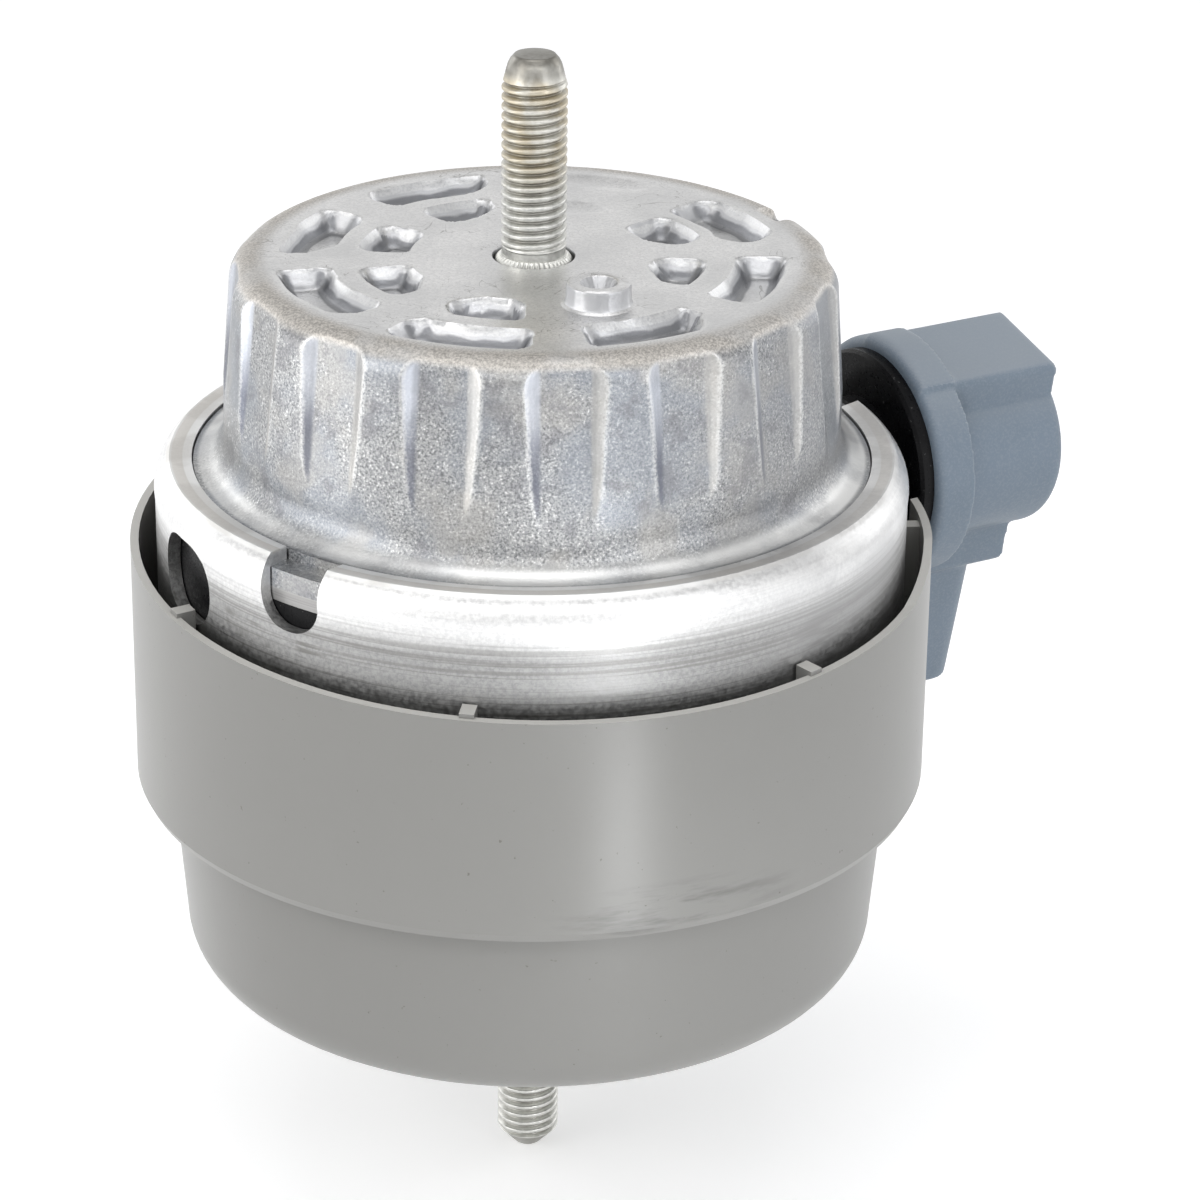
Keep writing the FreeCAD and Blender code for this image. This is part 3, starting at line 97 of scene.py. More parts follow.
def ramp(tree, factor, *stops):
    """Colour ramp from (place, colour) stops, where a colour may be one grey value."""
    made = node(tree, "ValToRGB")
    elements = made.color_ramp.elements
    while len(elements) < len(stops):
        elements.new(0.5)
    for element, (place, colour) in zip(elements, stops):
        element.position = place
        if isinstance(colour, (int, float)):
            colour = (colour, colour, colour)
        element.color = (*colour, 1)
    link(tree, factor, made.inputs["Fac"])
    return made.outputs["Color"]


def noise(tree, place, scale, detail=3.0, roughness=0.5, distortion=0.0):
    """Noise texture. Its scale is in grains a millimetre."""
    made = node(tree, "TexNoise")
    made.inputs["Scale"].default_value = scale / MM
    made.inputs["Detail"].default_value = detail
    made.inputs["Roughness"].default_value = roughness
    made.inputs["Distortion"].default_value = distortion
    link(tree, place, made.inputs["Vector"])
    return made.outputs["Fac"]


def mix(tree, factor, a, b):
    """Mix of two colours. Each input may be a socket or a constant."""
    made = node(tree, "Mix", data_type="RGBA")
    for socket, value in ((made.inputs[0], factor), (made.inputs[6], a), (made.inputs[7], b)):
        if isinstance(value, bpy.types.NodeSocket):
            link(tree, value, socket)
        elif isinstance(value, tuple):
            socket.default_value = (*value, 1)
        else:
            socket.default_value = value
    return made.outputs[2]


def calc(tree, operation, a, b=None, clamp=False):
    """One Math node."""
    made = node(tree, "Math", operation=operation, use_clamp=clamp)
    for socket, value in zip(made.inputs, (a, b)):
        if isinstance(value, bpy.types.NodeSocket):
            link(tree, value, socket)
        elif value is not None:
            socket.default_value = value
    return made.outputs[0]


def remap(tree, value, low, high, to_low=0.0, to_high=1.0):
    """Clamped smooth map of a value from one range to another."""
    made = node(tree, "MapRange", interpolation_type="SMOOTHSTEP")
    link(tree, value, made.inputs[0])
    for socket, number in zip(made.inputs[1:5], (low, high, to_low, to_high)):
        socket.default_value = number
    return made.outputs[0]


def bump(tree, height, strength, distance):
    """Bump node, whose distance is in millimetres."""
    made = node(tree, "Bump")
    made.inputs["Strength"].default_value = strength
    made.inputs["Distance"].default_value = distance * MM
    link(tree, height, made.inputs["Height"])
    return made.outputs["Normal"]


def times(tree, *values):
    """Product of two or more values."""
    product = values[0]
    for value in values[1:]:
        product = calc(tree, "MULTIPLY", product, value)
    return product


class Finish:
    """A material in the making: its tree, its shader and the places its textures read."""

    def __init__(self, name, **shader):
        self.material = bpy.data.materials.new(name)
        self.material.use_nodes = True
        self.tree = self.material.node_tree
        self.shader = self.tree.nodes["Principled BSDF"]
        for key, value in shader.items():
            self.shader.inputs[key.replace("_", " ")].default_value = value
        self.place = node(self.tree, "TexCoord").outputs["Object"]
        self.x, self.y, self.z = self.parts_of(self.place)
        squares = [calc(self.tree, "POWER", side, 2.0) for side in (self.x, self.y)]
        self.radius = calc(self.tree, "SQRT", calc(self.tree, "ADD", *squares))

    def parts_of(self, vector):
        """Three parts of a vector."""
        parts = node(self.tree, "SeparateXYZ")
        link(self.tree, vector, parts.inputs[0])
        return parts.outputs

    def colour(self, socket):
        link(self.tree, socket, self.shader.inputs["Base Color"])

    def rough(self, socket):
        link(self.tree, socket, self.shader.inputs["Roughness"])

    def normal(self, socket):
        link(self.tree, socket, self.shader.inputs["Normal"])

    def span(self, value, low, high, to_low=0.0, to_high=1.0):
        """Smooth map of a place or a radius, whose range is in millimetres."""
        return remap(self.tree, value, low * MM, high * MM, to_low, to_high)

    def facing_up(self):
        """Height part of the surface's normal."""
        return self.parts_of(node(self.tree, "NewGeometry").outputs["True Normal"])[2]

    def facing_round(self):
        """Part of the surface's normal that runs round the mount's axis, anticlockwise from above."""
        normal = self.parts_of(node(self.tree, "NewGeometry").outputs["Normal"])
        ahead = times(self.tree, self.x, normal[1])
        behind = times(self.tree, self.y, normal[0])
        return calc(self.tree, "DIVIDE", calc(self.tree, "SUBTRACT", ahead, behind), self.radius)

    def ring_place(self, angle_scale, r_scale, z_scale):
        """Place unrolled round the axis, for marks that run round or up."""
        angle = calc(self.tree, "DIVIDE", calc(self.tree, "ARCTAN2", self.y, self.x), math.tau)
        made = node(self.tree, "CombineXYZ")
        scaled = ((angle, angle_scale), (self.radius, r_scale), (self.z, z_scale))
        for socket, (value, scale) in zip(made.inputs, scaled):
            link(self.tree, times(self.tree, value, scale), socket)
        return made.outputs[0]


def plated_steel():
    """Satin zinc-plated thread with painted shade in the roots and a faint brownish bloom."""
    zinc_dark, zinc_light = (0.60, 0.60, 0.57), (0.72, 0.72, 0.69)
    brownish = (0.50, 0.43, 0.30)
    root_shade = (0.16, 0.15, 0.13)
    collar_shade = (0.22, 0.22, 0.21)
    f = Finish("plated_steel", Metallic=1.0, Roughness=0.36)
    t = f.tree
    grain = noise(t, f.place, 1.6, 3)
    cloud = noise(t, f.place, 0.16, 3)
    clean = ramp(t, grain, (0.35, zinc_dark), (0.65, zinc_light))
    below_tip = f.span(f.z, TOP_STUD_TIP_Z - 3.8, TOP_STUD_TIP_Z - 1.8, 1.0, 0.2)
    stretch = times(t, f.span(f.z, 126, 134), below_tip)
    bloom = times(t, remap(t, cloud, 0.40, 0.58, 0.15, 0.75), stretch)
    stained = mix(t, bloom, clean, brownish)
    root = f.span(f.radius, STUD_R - 0.7, STUD_R - 0.25, 1.0, 0.0)
    top_thread = f.span(f.z, TOP_Z + 0.7, TOP_Z + 1.5)
    lower_thread = f.span(f.z, -1, 0, 1.0, 0.0)
    in_thread = calc(t, "MAXIMUM", top_thread, lower_thread)
    # Painted shade: the thread roots are coloured darker where shade falls in the grooves.
    root_shade_mask = times(t, root, in_thread, remap(t, cloud, 0.3, 0.7, 0.5, 0.85))
    root_shaded = mix(t, root_shade_mask, stained, root_shade)
    low_collar = times(t, f.span(f.z, TOP_Z - 0.7, TOP_Z + 0.3, 1.0, 0.0), f.span(f.z, 110, 111))
    f.colour(mix(t, times(t, low_collar, 0.75), root_shaded, collar_shade))
    f.rough(remap(t, grain, 0.3, 0.7, 0.28, 0.44))
    f.normal(bump(t, grain, 0.15, 0.03))
    return f.material


def cast_side(f, grit, cloud, tint):
    """Colour of the cap's side: glints, cool and warm patches, painted light and shade on the flanks by which
    way round they face, and painted shade towards +x.
    """
    fleck, dull = (0.17, 0.175, 0.18), (0.385, 0.39, 0.395)
    plain, spark = (0.48, 0.48, 0.48), (0.86, 0.86, 0.86)
    cool, warm, stain = (0.29, 0.315, 0.355), (0.43, 0.415, 0.39), (0.20, 0.20, 0.215)
    flank_shade_blue, flank_highlight_blue = (0.15, 0.16, 0.205), (0.66, 0.69, 0.76)
    flank_highlight_cream = (0.68, 0.66, 0.62)
    right_shade = (0.22, 0.225, 0.24)
    t = f.tree
    side = ramp(t, grit, (0.36, fleck), (0.5, dull), (0.60, plain), (0.67, spark))
    side = mix(t, remap(t, tint, 0.42, 0.60, 0.0, 0.55), side, cool)
    side = mix(t, remap(t, cloud, 0.50, 0.64, 0.0, 0.4), side, warm)
    patches = noise(t, f.place, 0.16, 4, 0.65)
    side = mix(t, remap(t, patches, 0.52, 0.66, 0.0, 0.5), side, stain)
    # Painted light and shade: flanks turned one way round get a blue tone, dark low down and pale high up,
    # and flanks turned the other way get a cream highlight.
    turned = f.facing_round()
    above_foot = f.span(f.z, HOUSING_RIM_TOP_Z + 4.5, HOUSING_RIM_TOP_Z + 8.5)
    flank_light_and_shade = mix(t, f.span(f.z, 100, 111), flank_shade_blue, flank_highlight_blue)
    side = mix(t, times(t, remap(t, turned, 0.12, 0.36, 0.0, 0.68), above_foot), side, flank_light_and_shade)
    side = mix(t, times(t, remap(t, turned, -0.36, -0.12, 0.5, 0.0), above_foot), side, flank_highlight_cream)
    return mix(t, f.span(f.x, 18, 40, 0.0, 0.35), side, right_shade)


def cast_top(f, grit, fine, cloud, tint):
    """Colour of the cap's top: pits, faint mottling, winding hairlines and painted shade that makes the steep
    pocket walls greyer.
    """
    dull, bright = (0.70, 0.70, 0.70), (0.86, 0.855, 0.85)
    pit, mottle = (0.52, 0.515, 0.51), (0.56, 0.56, 0.565)
    hairline, wall = (0.30, 0.29, 0.28), (0.54, 0.545, 0.56)
    t = f.tree
    top = ramp(t, cloud, (0.32, dull), (0.68, bright))
    top = mix(t, remap(t, grit, 0.40, 0.46, 0.45, 0.0), top, pit)
    top = mix(t, remap(t, fine, 0.42, 0.62, 0.3, 0.0), top, mottle)
    wander = noise(t, f.place, 0.075, 3, 0.6, 1.6)
    hairs = remap(t, calc(t, "ABSOLUTE", calc(t, "SUBTRACT", wander, 0.5)), 0.0, 0.006, 1.0, 0.0)
    top = mix(t, times(t, hairs, remap(t, tint, 0.48, 0.56, 0.0, 0.7)), top, hairline)
    # Painted shade: steep pocket walls are coloured greyer.
    steep = remap(t, f.facing_up(), 0.55, 0.93, 1.0, 0.0)
    within = f.span(f.radius, CAP_TOP_R - 5.6, CAP_TOP_R - 5.1, 1.0, 0.0)
    return mix(t, times(t, steep, within), top, wall)


def cast_aluminium():
    """Tumbled die-cast aluminium: fine glints, painted shade in the creases, polish and painted highlight on
    the crests, a painted highlight on the foot, a dull gritty band on the top edge.
    """
    foot_highlight, crease_painted_shade, crest_polish_and_highlight = (0.90, 0.90, 0.89), (0.13, 0.135, 0.15), (0.80, 0.80, 0.79)
    worn_dark, worn_light = (0.38, 0.36, 0.335), (0.66, 0.63, 0.59)
    f = Finish("cast_aluminium", Metallic=1.0, Roughness=0.4)
    t = f.tree
    grit = noise(t, f.place, 2.6, 3, 0.7)
    fine = noise(t, f.place, 1.3, 4, 0.65)
    cloud = noise(t, f.place, 0.10, 4)
    tint = noise(t, f.place, 0.06, 3)
    high_up = f.span(f.z, TOP_Z - 2.1, TOP_Z - 0.5)
    near_axis = f.span(f.radius, CAP_TOP_R - 5.3, CAP_TOP_R - 4.1, 1.0, 0.0)
    on_top = calc(t, "MAXIMUM", high_up, near_axis)
    colour = mix(t, on_top, cast_side(f, grit, cloud, tint), cast_top(f, grit, fine, cloud, tint))
    # Painted highlight: a pale band round the flare of the foot.
    foot_from = f.span(f.radius, CAP_FOOT_R + 0.6, CAP_FOOT_R + 2.0)
    foot_to = f.span(f.radius, CAP_FLARE_R - 1.1, CAP_FLARE_R - 0.3, 1.0, 0.0)
    foot_height = f.span(f.z, HOUSING_RIM_TOP_Z + 1.0, HOUSING_RIM_TOP_Z + 4.5, 1.0, 0.0)
    foot = times(t, foot_from, foot_to, foot_height, remap(t, cloud, 0.35, 0.6, 0.45, 0.85))
    colour = mix(t, foot, colour, foot_highlight)
    hollow = node(t, "Attribute", attribute_name="hollow").outputs["Fac"]
    # Painted shade: points lying below their neighbours are coloured darker.
    colour = mix(t, remap(t, hollow, 0.05, 0.25, 0.0, 0.7), colour, crease_painted_shade)
    # Polish and painted highlight: points standing above their neighbours are coloured lighter.
    crest = times(t, remap(t, hollow, -0.22, -0.05, 0.45, 0.0), remap(t, grit, 0.38, 0.55, 0.3, 1.0))
    colour = mix(t, crest, colour, crest_polish_and_highlight)
    near_edge = f.span(f.radius, CAP_TOP_R - 6.6, CAP_TOP_R - 3.6)
    above_side = f.span(f.z, TOP_Z - 2.2, TOP_Z - 0.9)
    worn = times(t, near_edge, above_side, remap(t, cloud, 0.3, 0.55, 0.5, 0.95))
    f.colour(mix(t, worn, colour, ramp(t, grit, (0.4, worn_dark), (0.6, worn_light))))
    f.rough(calc(t, "ADD", remap(t, grit, 0.35, 0.65, 0.30, 0.42), times(t, worn, 0.2)))
    f.normal(bump(t, mix(t, on_top, grit, fine), 0.42, 0.12))
    return f.material


def spun_aluminium():
    """Satin spun aluminium: scuffs round its lower part, which is duller and painted darker as shade, a
    bevelled rim with a matt band, and painted shade towards +x.
    """
    clean_dark, clean_light = (0.78, 0.78, 0.78), (0.90, 0.90, 0.895)
    dull_shaded_dark, dull_shaded_light = (0.32, 0.32, 0.32), (0.44, 0.44, 0.435)
    line_shade, scuff_shade, right_side_shade = (0.20, 0.195, 0.185), (0.17, 0.165, 0.155), (0.46, 0.46, 0.465)
    rim_inner, rim_bevel, rim_outer = (0.92, 0.92, 0.915), (0.88, 0.88, 0.87), (0.92, 0.92, 0.91)
    rim_matt, rim_satin, rim_wear = (0.76, 0.74, 0.71), (0.80, 0.78, 0.75), (0.56, 0.54, 0.51)
    f = Finish("spun_aluminium", Metallic=1.0, Roughness=0.36)
    t = f.tree
    streaks = noise(t, f.ring_place(5.0, 3000.0, 3000.0), UNSCALED, 4, 0.6)
    bands = noise(t, f.ring_place(11.0, 420.0, 420.0), UNSCALED, 3, 0.65)
    grain = noise(t, f.place, 1.6, 3, 0.7)
    cloud = noise(t, f.place, 0.12, 3)
    # Duller and painted shade: the lower part is coloured much darker than the clean upper part.
    low = f.span(f.z, HOUSING_RIM_TOP_Z - 10.5, HOUSING_RIM_TOP_Z - 4.0, 1.0, 0.0)
    clean = ramp(t, grain, (0.38, clean_dark), (0.62, clean_light))
    colour = mix(t, low, clean, ramp(t, grain, (0.38, dull_shaded_dark), (0.62, dull_shaded_light)))
    lines = times(t, remap(t, streaks, 0.48, 0.62), remap(t, low, 0.0, 1.0, 0.07, 0.5))
    colour = mix(t, lines, colour, line_shade)
    lowest = f.span(f.z, HOUSING_RIM_TOP_Z - 11.5, HOUSING_RIM_TOP_Z - 8.0, 1.0, 0.08)
    scuffs = times(t, remap(t, bands, 0.53, 0.62), lowest, remap(t, cloud, 0.42, 0.58, 0.15, 0.9), 0.7)
    colour = mix(t, scuffs, colour, scuff_shade)
    on_rim = f.span(f.z, HOUSING_RIM_TOP_Z - 0.6, HOUSING_RIM_TOP_Z - 0.3)
    rim = ramp(
        t, f.span(f.radius, 52, 56), (0.0, rim_inner), (0.30, rim_bevel), (0.36, rim_matt), (0.88, rim_satin),
        (0.94, rim_outer))
    rim = mix(t, remap(t, cloud, 0.42, 0.60, 0.0, 0.4), rim, rim_wear)
    colour = mix(t, on_rim, colour, rim)
    # Painted shade: the housing is coloured darker towards +x.
    right_side_shading = times(t, f.span(f.x, 22, 46, 0.0, 0.5), remap(t, cloud, 0.3, 0.6, 0.5, 1.0))
    f.colour(mix(t, right_side_shading, colour, right_side_shade))
    satin = remap(t, grain, 0.35, 0.65, 0.3, 0.44)
    satin = calc(t, "ADD", satin, times(t, low, 0.12))
    f.rough(calc(t, "ADD", satin, times(t, on_rim, 0.12)))
    f.normal(bump(t, grain, 0.12, 0.05))
    return f.material


def rubbed_patch(f, centre_x, centre_z, half_width, half_height):
    """Mask of an oval patch with smears on the cup's front. Its place and size are in millimetres."""
    t = f.tree
    off = []
    for value, centre, half in ((f.x, centre_x, half_width), (f.z, centre_z, half_height)):
        share = times(t, calc(t, "SUBTRACT", value, centre * MM), 1 / (half * MM))
        off.append(calc(t, "POWER", share, 2.0))
    oval = calc(t, "SUBTRACT", 1.0, calc(t, "ADD", *off), clamp=True)
    smears = noise(t, f.ring_place(24.0, 200.0, 380.0), UNSCALED, 4, 0.65)
    return times(t, oval, f.span(f.y, -40, -35, 1.0, 0.0), remap(t, smears, 0.44, 0.66, 0.0, 0.6))


def grey_plastic():
    """Satin warm grey plastic with a rubbed patch, soft smudges, tiny specks and a painted highlight on the
    upward faces of the rim.
    """
    grey_dark, grey_light = (0.246, 0.243, 0.231), (0.272, 0.269, 0.257)
    step_shade, rubbed = (0.20, 0.197, 0.188), (0.10, 0.098, 0.094)
    smudged, speck, rim_highlight = (0.20, 0.195, 0.185), (0.16, 0.15, 0.14), (0.56, 0.55, 0.52)
    f = Finish("grey_plastic", Roughness=0.42)
    t = f.tree
    smudge = noise(t, f.place, 0.05, 4, 0.55)
    cloud = noise(t, f.place, 0.012, 3)
    specks = noise(t, f.place, 1.3, 2, 0.5)
    colour = ramp(t, cloud, (0.3, grey_dark), (0.7, grey_light))
    colour = mix(t, f.span(f.z, CUP_STEP_Z - 2.75, CUP_STEP_Z + 1.25, 0.35, 0.0), colour, step_shade)
    patch = rubbed_patch(f, centre_x=21, centre_z=36.5, half_width=20, half_height=5.263)
    colour = mix(t, patch, colour, rubbed)
    colour = mix(t, remap(t, smudge, 0.45, 0.75, 0.0, 0.12), colour, smudged)
    colour = mix(t, remap(t, specks, 0.73, 0.78), colour, speck)
    # Painted highlight: faces near the rim that look upward are coloured lighter.
    upward = remap(t, f.facing_up(), 0.55, 0.8)
    rim = times(t, upward, f.span(f.z, CUP_RIM_FRONT_Z - 6.2, CUP_RIM_FRONT_Z - 2.2), 0.8)
    f.colour(mix(t, rim, colour, rim_highlight))
    f.rough(remap(t, cloud, 0.3, 0.7, 0.29, 0.36))
    f.normal(bump(t, noise(t, f.place, 0.9, 4, 0.6), 0.15, 0.05))
    return f.material


def blue_grey_plastic():
    """Matt blue-grey moulded plastic with painted light on its upward faces, a painted highlight along its
    edges and painted shade in its creases.
    """
    blue_dark, blue_light = (0.152, 0.197, 0.247), (0.19, 0.237, 0.295)
    top_painted_light, mottle = (0.295, 0.335, 0.38), (0.34, 0.375, 0.41)
    edge_highlight, crease_shade = (0.40, 0.44, 0.48), (0.07, 0.09, 0.115)
    f = Finish("blue_grey_plastic", Roughness=0.48)
    t = f.tree
    cloud = noise(t, f.place, 0.06, 4)
    colour = ramp(t, cloud, (0.3, blue_dark), (0.7, blue_light))
    # Painted light: faces that look up are coloured paler.
    colour = mix(t, remap(t, f.facing_up(), 0.35, 0.95, 0.0, 0.9), colour, top_painted_light)
    colour = mix(t, remap(t, noise(t, f.place, 2.4, 3, 0.7), 0.45, 0.65, 0.0, 0.22), colour, mottle)
    # Painted highlight on convex edges, read from pointiness.
    point = node(t, "NewGeometry").outputs["Pointiness"]
    colour = mix(t, remap(t, point, 0.515, 0.56, 0.0, 0.4), colour, edge_highlight)
    # Painted shade: concave creases are coloured dark.
    f.colour(mix(t, remap(t, point, 0.44, 0.488, 0.75, 0.0), colour, crease_shade))
    f.rough(remap(t, cloud, 0.3, 0.7, 0.42, 0.56))
    f.normal(bump(t, noise(t, f.place, 2.2, 3, 0.6), 0.12, 0.04))
    return f.material


def dark_plastic(name, colour, rough, grain_scale):
    """Dark moulded plastic or rubber with a faint sheen and tiny pale glints."""
    lighter = tuple(part * 2.0 + 0.003 for part in colour)
    glint = (0.10, 0.10, 0.10)
    f = Finish(name, Roughness=rough, Specular_IOR_Level=0.14)
    t = f.tree
    grain = noise(t, f.place, grain_scale, 4, 0.6)
    cloud = noise(t, f.place, 0.1, 3)
    glints = remap(t, noise(t, f.place, grain_scale, 2, 0.5), 0.68, 0.74, 0.0, 0.6)
    f.colour(mix(t, glints, ramp(t, cloud, (0.35, colour), (0.7, lighter)), glint))
    f.rough(remap(t, grain, 0.3, 0.7, rough - 0.1, rough + 0.12))
    f.normal(bump(t, grain, 0.25, 0.06))
    return f.material


def plain_metal(name, dark, light, rough):
    """Bare metal with turning marks."""
    f = Finish(name, Metallic=1.0, Roughness=rough)
    t = f.tree
    rings = noise(t, f.ring_place(3.0, 3000.0, 3000.0), UNSCALED, 3, 0.6)
    f.colour(ramp(t, rings, (0.3, dark), (0.7, light)))
    f.rough(remap(t, rings, 0.3, 0.7, rough - 0.06, rough + 0.1))
    f.normal(bump(t, rings, 0.15, 0.05))
    return f.material


MATERIALS = {
    "plated_steel": plated_steel(),
    "cast_aluminium": cast_aluminium(),
    "spun_aluminium": spun_aluminium(),
    "turned_aluminium": plain_metal("turned_aluminium", (0.28, 0.27, 0.26), (0.42, 0.41, 0.40), 0.45),
    "plate_aluminium": plain_metal("plate_aluminium", (0.26, 0.255, 0.25), (0.5, 0.495, 0.49), 0.42),
    "grey_plastic": grey_plastic(),
    "blue_grey_plastic": blue_grey_plastic(),
    "black_plastic": dark_plastic("black_plastic", (0.003, 0.003, 0.0035), 0.34, 1.6),
    "black_rubber": dark_plastic("black_rubber", (0.006, 0.006, 0.006), 0.55, 2.4),
    "copper_wire": plain_metal("copper_wire", (0.55, 0.26, 0.13), (0.75, 0.4, 0.24), 0.3),
    "magnet_steel": plain_metal("magnet_steel", (0.42, 0.42, 0.41), (0.58, 0.58, 0.57), 0.36),
    "tinned_blade": plain_metal("tinned_blade", (0.6, 0.59, 0.56), (0.75, 0.74, 0.7), 0.26),
}

for entry in frame["record"]["subparts"]:
    mesh = nodes[entry["node"]].data
    mesh.materials.clear()
    mesh.materials.append(MATERIALS[entry["material_slot"]])


def smoothstep(low, high, value):
    x = np.clip((value - low) / (high - low), 0, 1)
    return x * x * (3 - 2 * x)


def ring_mesh(name, r, z, closed_start=True, closed_end=True, angle=None, hollow=None):
    """Mesh of a grid of radii and heights: rows along the profile, columns round the axis.

    The hollow values are kept on the points for the material to read."""
    rows, columns = r.shape
    if angle is None:
        angle = np.linspace(0, math.tau, columns, endpoint=False)
    x = r * np.cos(angle) * MM
    y = r * np.sin(angle) * MM
    points = np.stack([x, y, z * MM], axis=-1).reshape(-1, 3)
    index = np.arange(rows * columns).reshape(rows, columns)
    after = np.roll(index, -1, axis=1)
    quads = np.stack([index[:-1], after[:-1], after[1:], index[1:]], axis=-1).reshape(-1, 4)
    faces = quads.tolist()
    if closed_start:
        faces.append(index[0][::-1].tolist())
    if closed_end:
        faces.append(index[-1].tolist())
    mesh = bpy.data.meshes.new(name)
    mesh.from_pydata(points.tolist(), [], faces)
    mesh.validate()
    mesh.update()
    if hollow is not None:
        mesh.attributes.new("hollow", "FLOAT", "POINT").data.foreach_set("value", hollow.ravel())
    piece = bpy.data.objects.new(name, mesh)
    bpy.context.scene.collection.objects.link(piece)
    return piece


def dress(piece, slot, body, *replaced, sharp_angle=32):
    """Material, smooth shading, body and the CAD nodes that a piece stands for."""
    piece.data.materials.append(MATERIALS[slot])
    piece.data.shade_smooth()
    piece.data.set_sharp_from_angle(angle=math.radians(sharp_angle))
    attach(piece, body)
    if replaced:
        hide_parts(*replaced)
    return piece


THREAD_COLUMNS = 88
THREAD_STEP = 0.075
THREAD_FADE = 1.2
GROOVE_SHARE = 0.8


def thread_wave(z, angle):
    """Depth of the thread's groove, from 0 on the crest to 1 in the root."""
    phase = (z / THREAD_PITCH - angle / math.tau) % 1.0
    away = np.abs(phase - 0.5) * 2
    return smoothstep(0.0, 1.0, np.clip(1 - away / GROOVE_SHARE, 0, 1))


def stud(name, outline, threaded, body, node_name):
    """Stud from its outline (radius, height points, tip last) with a thread cut in one stretch of it."""
    low, high = threaded
    zs = [outline[0][1]]
    rs = [outline[0][0]]
    for (r0, z0), (r1, z1) in zip(outline, outline[1:]):
        in_thread = max(z0, z1) > low and min(z0, z1) < high
        count = max(1, math.ceil(abs(z1 - z0) / (THREAD_STEP if in_thread else 1.0)))
        for k in range(1, count + 1):
            zs.append(z0 + (z1 - z0) * k / count)
            rs.append(r0 + (r1 - r0) * k / count)
    z = np.array(zs)[:, None] + np.zeros(THREAD_COLUMNS)
    angle = np.linspace(0, math.tau, THREAD_COLUMNS, endpoint=False)[None, :]
    envelope = np.array(rs)[:, None]
    share = smoothstep(low, low + THREAD_FADE, z) * (1 - smoothstep(high - THREAD_FADE, high, z))
    depth = THREAD_DEPTH * thread_wave(z, angle) * share
    r = np.minimum(envelope + np.zeros_like(z), np.where(share > 0, STUD_R - depth, np.inf))
    return dress(ring_mesh(name, r, z), "plated_steel", body, node_name, sharp_angle=50)


stud(
    "top_stud_threaded",
    [(0.3, 103.0), (9.0, 103.0), (9.0, STUD_SEAT_Z), (STUD_PRESS_R, STUD_SEAT_Z),
     (STUD_PRESS_R, COLLAR_FLOOR_Z), (4.4, COLLAR_FLOOR_Z), (4.4, TOP_Z - 0.5),
     (STUD_NECK_R, TOP_Z - 0.4), (STUD_NECK_R, TOP_Z + 1.5), (STUD_R, TOP_Z + 2.0),
     (STUD_R, 143.6), (4.55, 145.0), (4.30, 146.0), (4.05, 146.9), (3.7, 147.6), (3.3, 148.05),
     (3.1, TOP_STUD_TIP_Z - 0.02), (2.95, TOP_STUD_TIP_Z), (2.2, TOP_STUD_TIP_Z - 0.06),
     (0.3, TOP_STUD_TIP_Z - 0.04)],
    (TOP_Z + 1.5, 145.4), "upper", "top_stud")
stud(
    "lower_stud_threaded",
    [(0.3, 24.0), (STUD_PRESS_R, 24.0), (STUD_PRESS_R, 0.0), (STUD_R, 0.0), (STUD_R, -34.3),
     (2.2, -37.3), (1.9, -37.5), (0.3, -37.5)],
    (-35.2, -0.6), "lower", "lower_stud")

# Cap: an outside profile of radii and heights, cut by the pockets, the side panels and the notch
PANEL_PITCH = 22.5
PANEL_FLOOR_WIDTH = 7.7
PANEL_MOUTH_WIDTH = 13.3
PANEL_DEPTH = 1.8
PANEL_HEIGHT = 26.4
PANEL_WAVER = 0.12
PANEL_FLOOR_ROUND = 0.45
PANEL_EDGE_ROUND = 0.2
FLARE_ROUND = 4.7
FLARE_TOP_Z = 89.55
NOTCH_HALF_WIDTH = 3.0
NOTCH_DEPTH = 2.2
NOTCH_FROM_R = 41.15
POCKET_DEPTH = 3.0
POCKET_SLOPE = 1.8
POCKET_PITCH = 45.0
POCKET_CORNER_ROUND = 1.0
POCKET_FLOOR_ROUND = 0.9
POCKET_EDGE_WAVER = 0.2
POCKET_FLOOR_WAVER = 0.12
KEY_BOSS_ANGLE = -65.5
KEY_BOSS_DISTANCE = 23.0
COLLAR_TEETH = 46
COLLAR_TOOTH_DEPTH = 0.24
COLLAR_TOOTH_DROP = 0.22

# Pockets: sector number from the port, inner and outer radius, spread in degrees, and how far each corner
# is cut: outer and inner on the side that the angle grows to, then outer and inner on the other side
POCKETS = (
    (0, 29.2, 38.3, 34, (2.0, 1.0, 3.6, 3.0)),
    (2, 30.2, 38.4, 33, (1.6, 1.6, 0.4, 3.4)),
    (3, 29.9, 38.2, 33, (0.4, 4.0, 1.2, 2.0)),
    (4, 30.9, 39.4, 34, (3.2, 0.8, 0.6, 1.0)),
    (5, 31.7, 40.0, 33, (1.4, 1.0, 1.0, 1.8)),
    (6, 30.8, 39.6, 33, (5.0, 0.6, 1.2, 1.2)),
    (7, 30.2, 38.2, 34, (1.0, 1.0, 1.4, 0.6)),
    (0, 18.4, 27.2, 30, (1.8, 0.8, 3.0, 3.0)),
    (2, 19.0, 27.0, 27, (0.6, 1.4, 0.8, 3.6)),
    (3, 18.6, 26.6, 29, (1.8, 0.6, 1.8, 1.2)),
    (4, 19.2, 27.4, 29, (1.2, 3.6, 1.6, 0.8)),
    (5, 19.4, 28.4, 28, (1.0, 2.4, 3.0, 3.4)),
    (7, 17.8, 26.2, 28, (1.4, 1.8, 1.0, 4.2)),
)
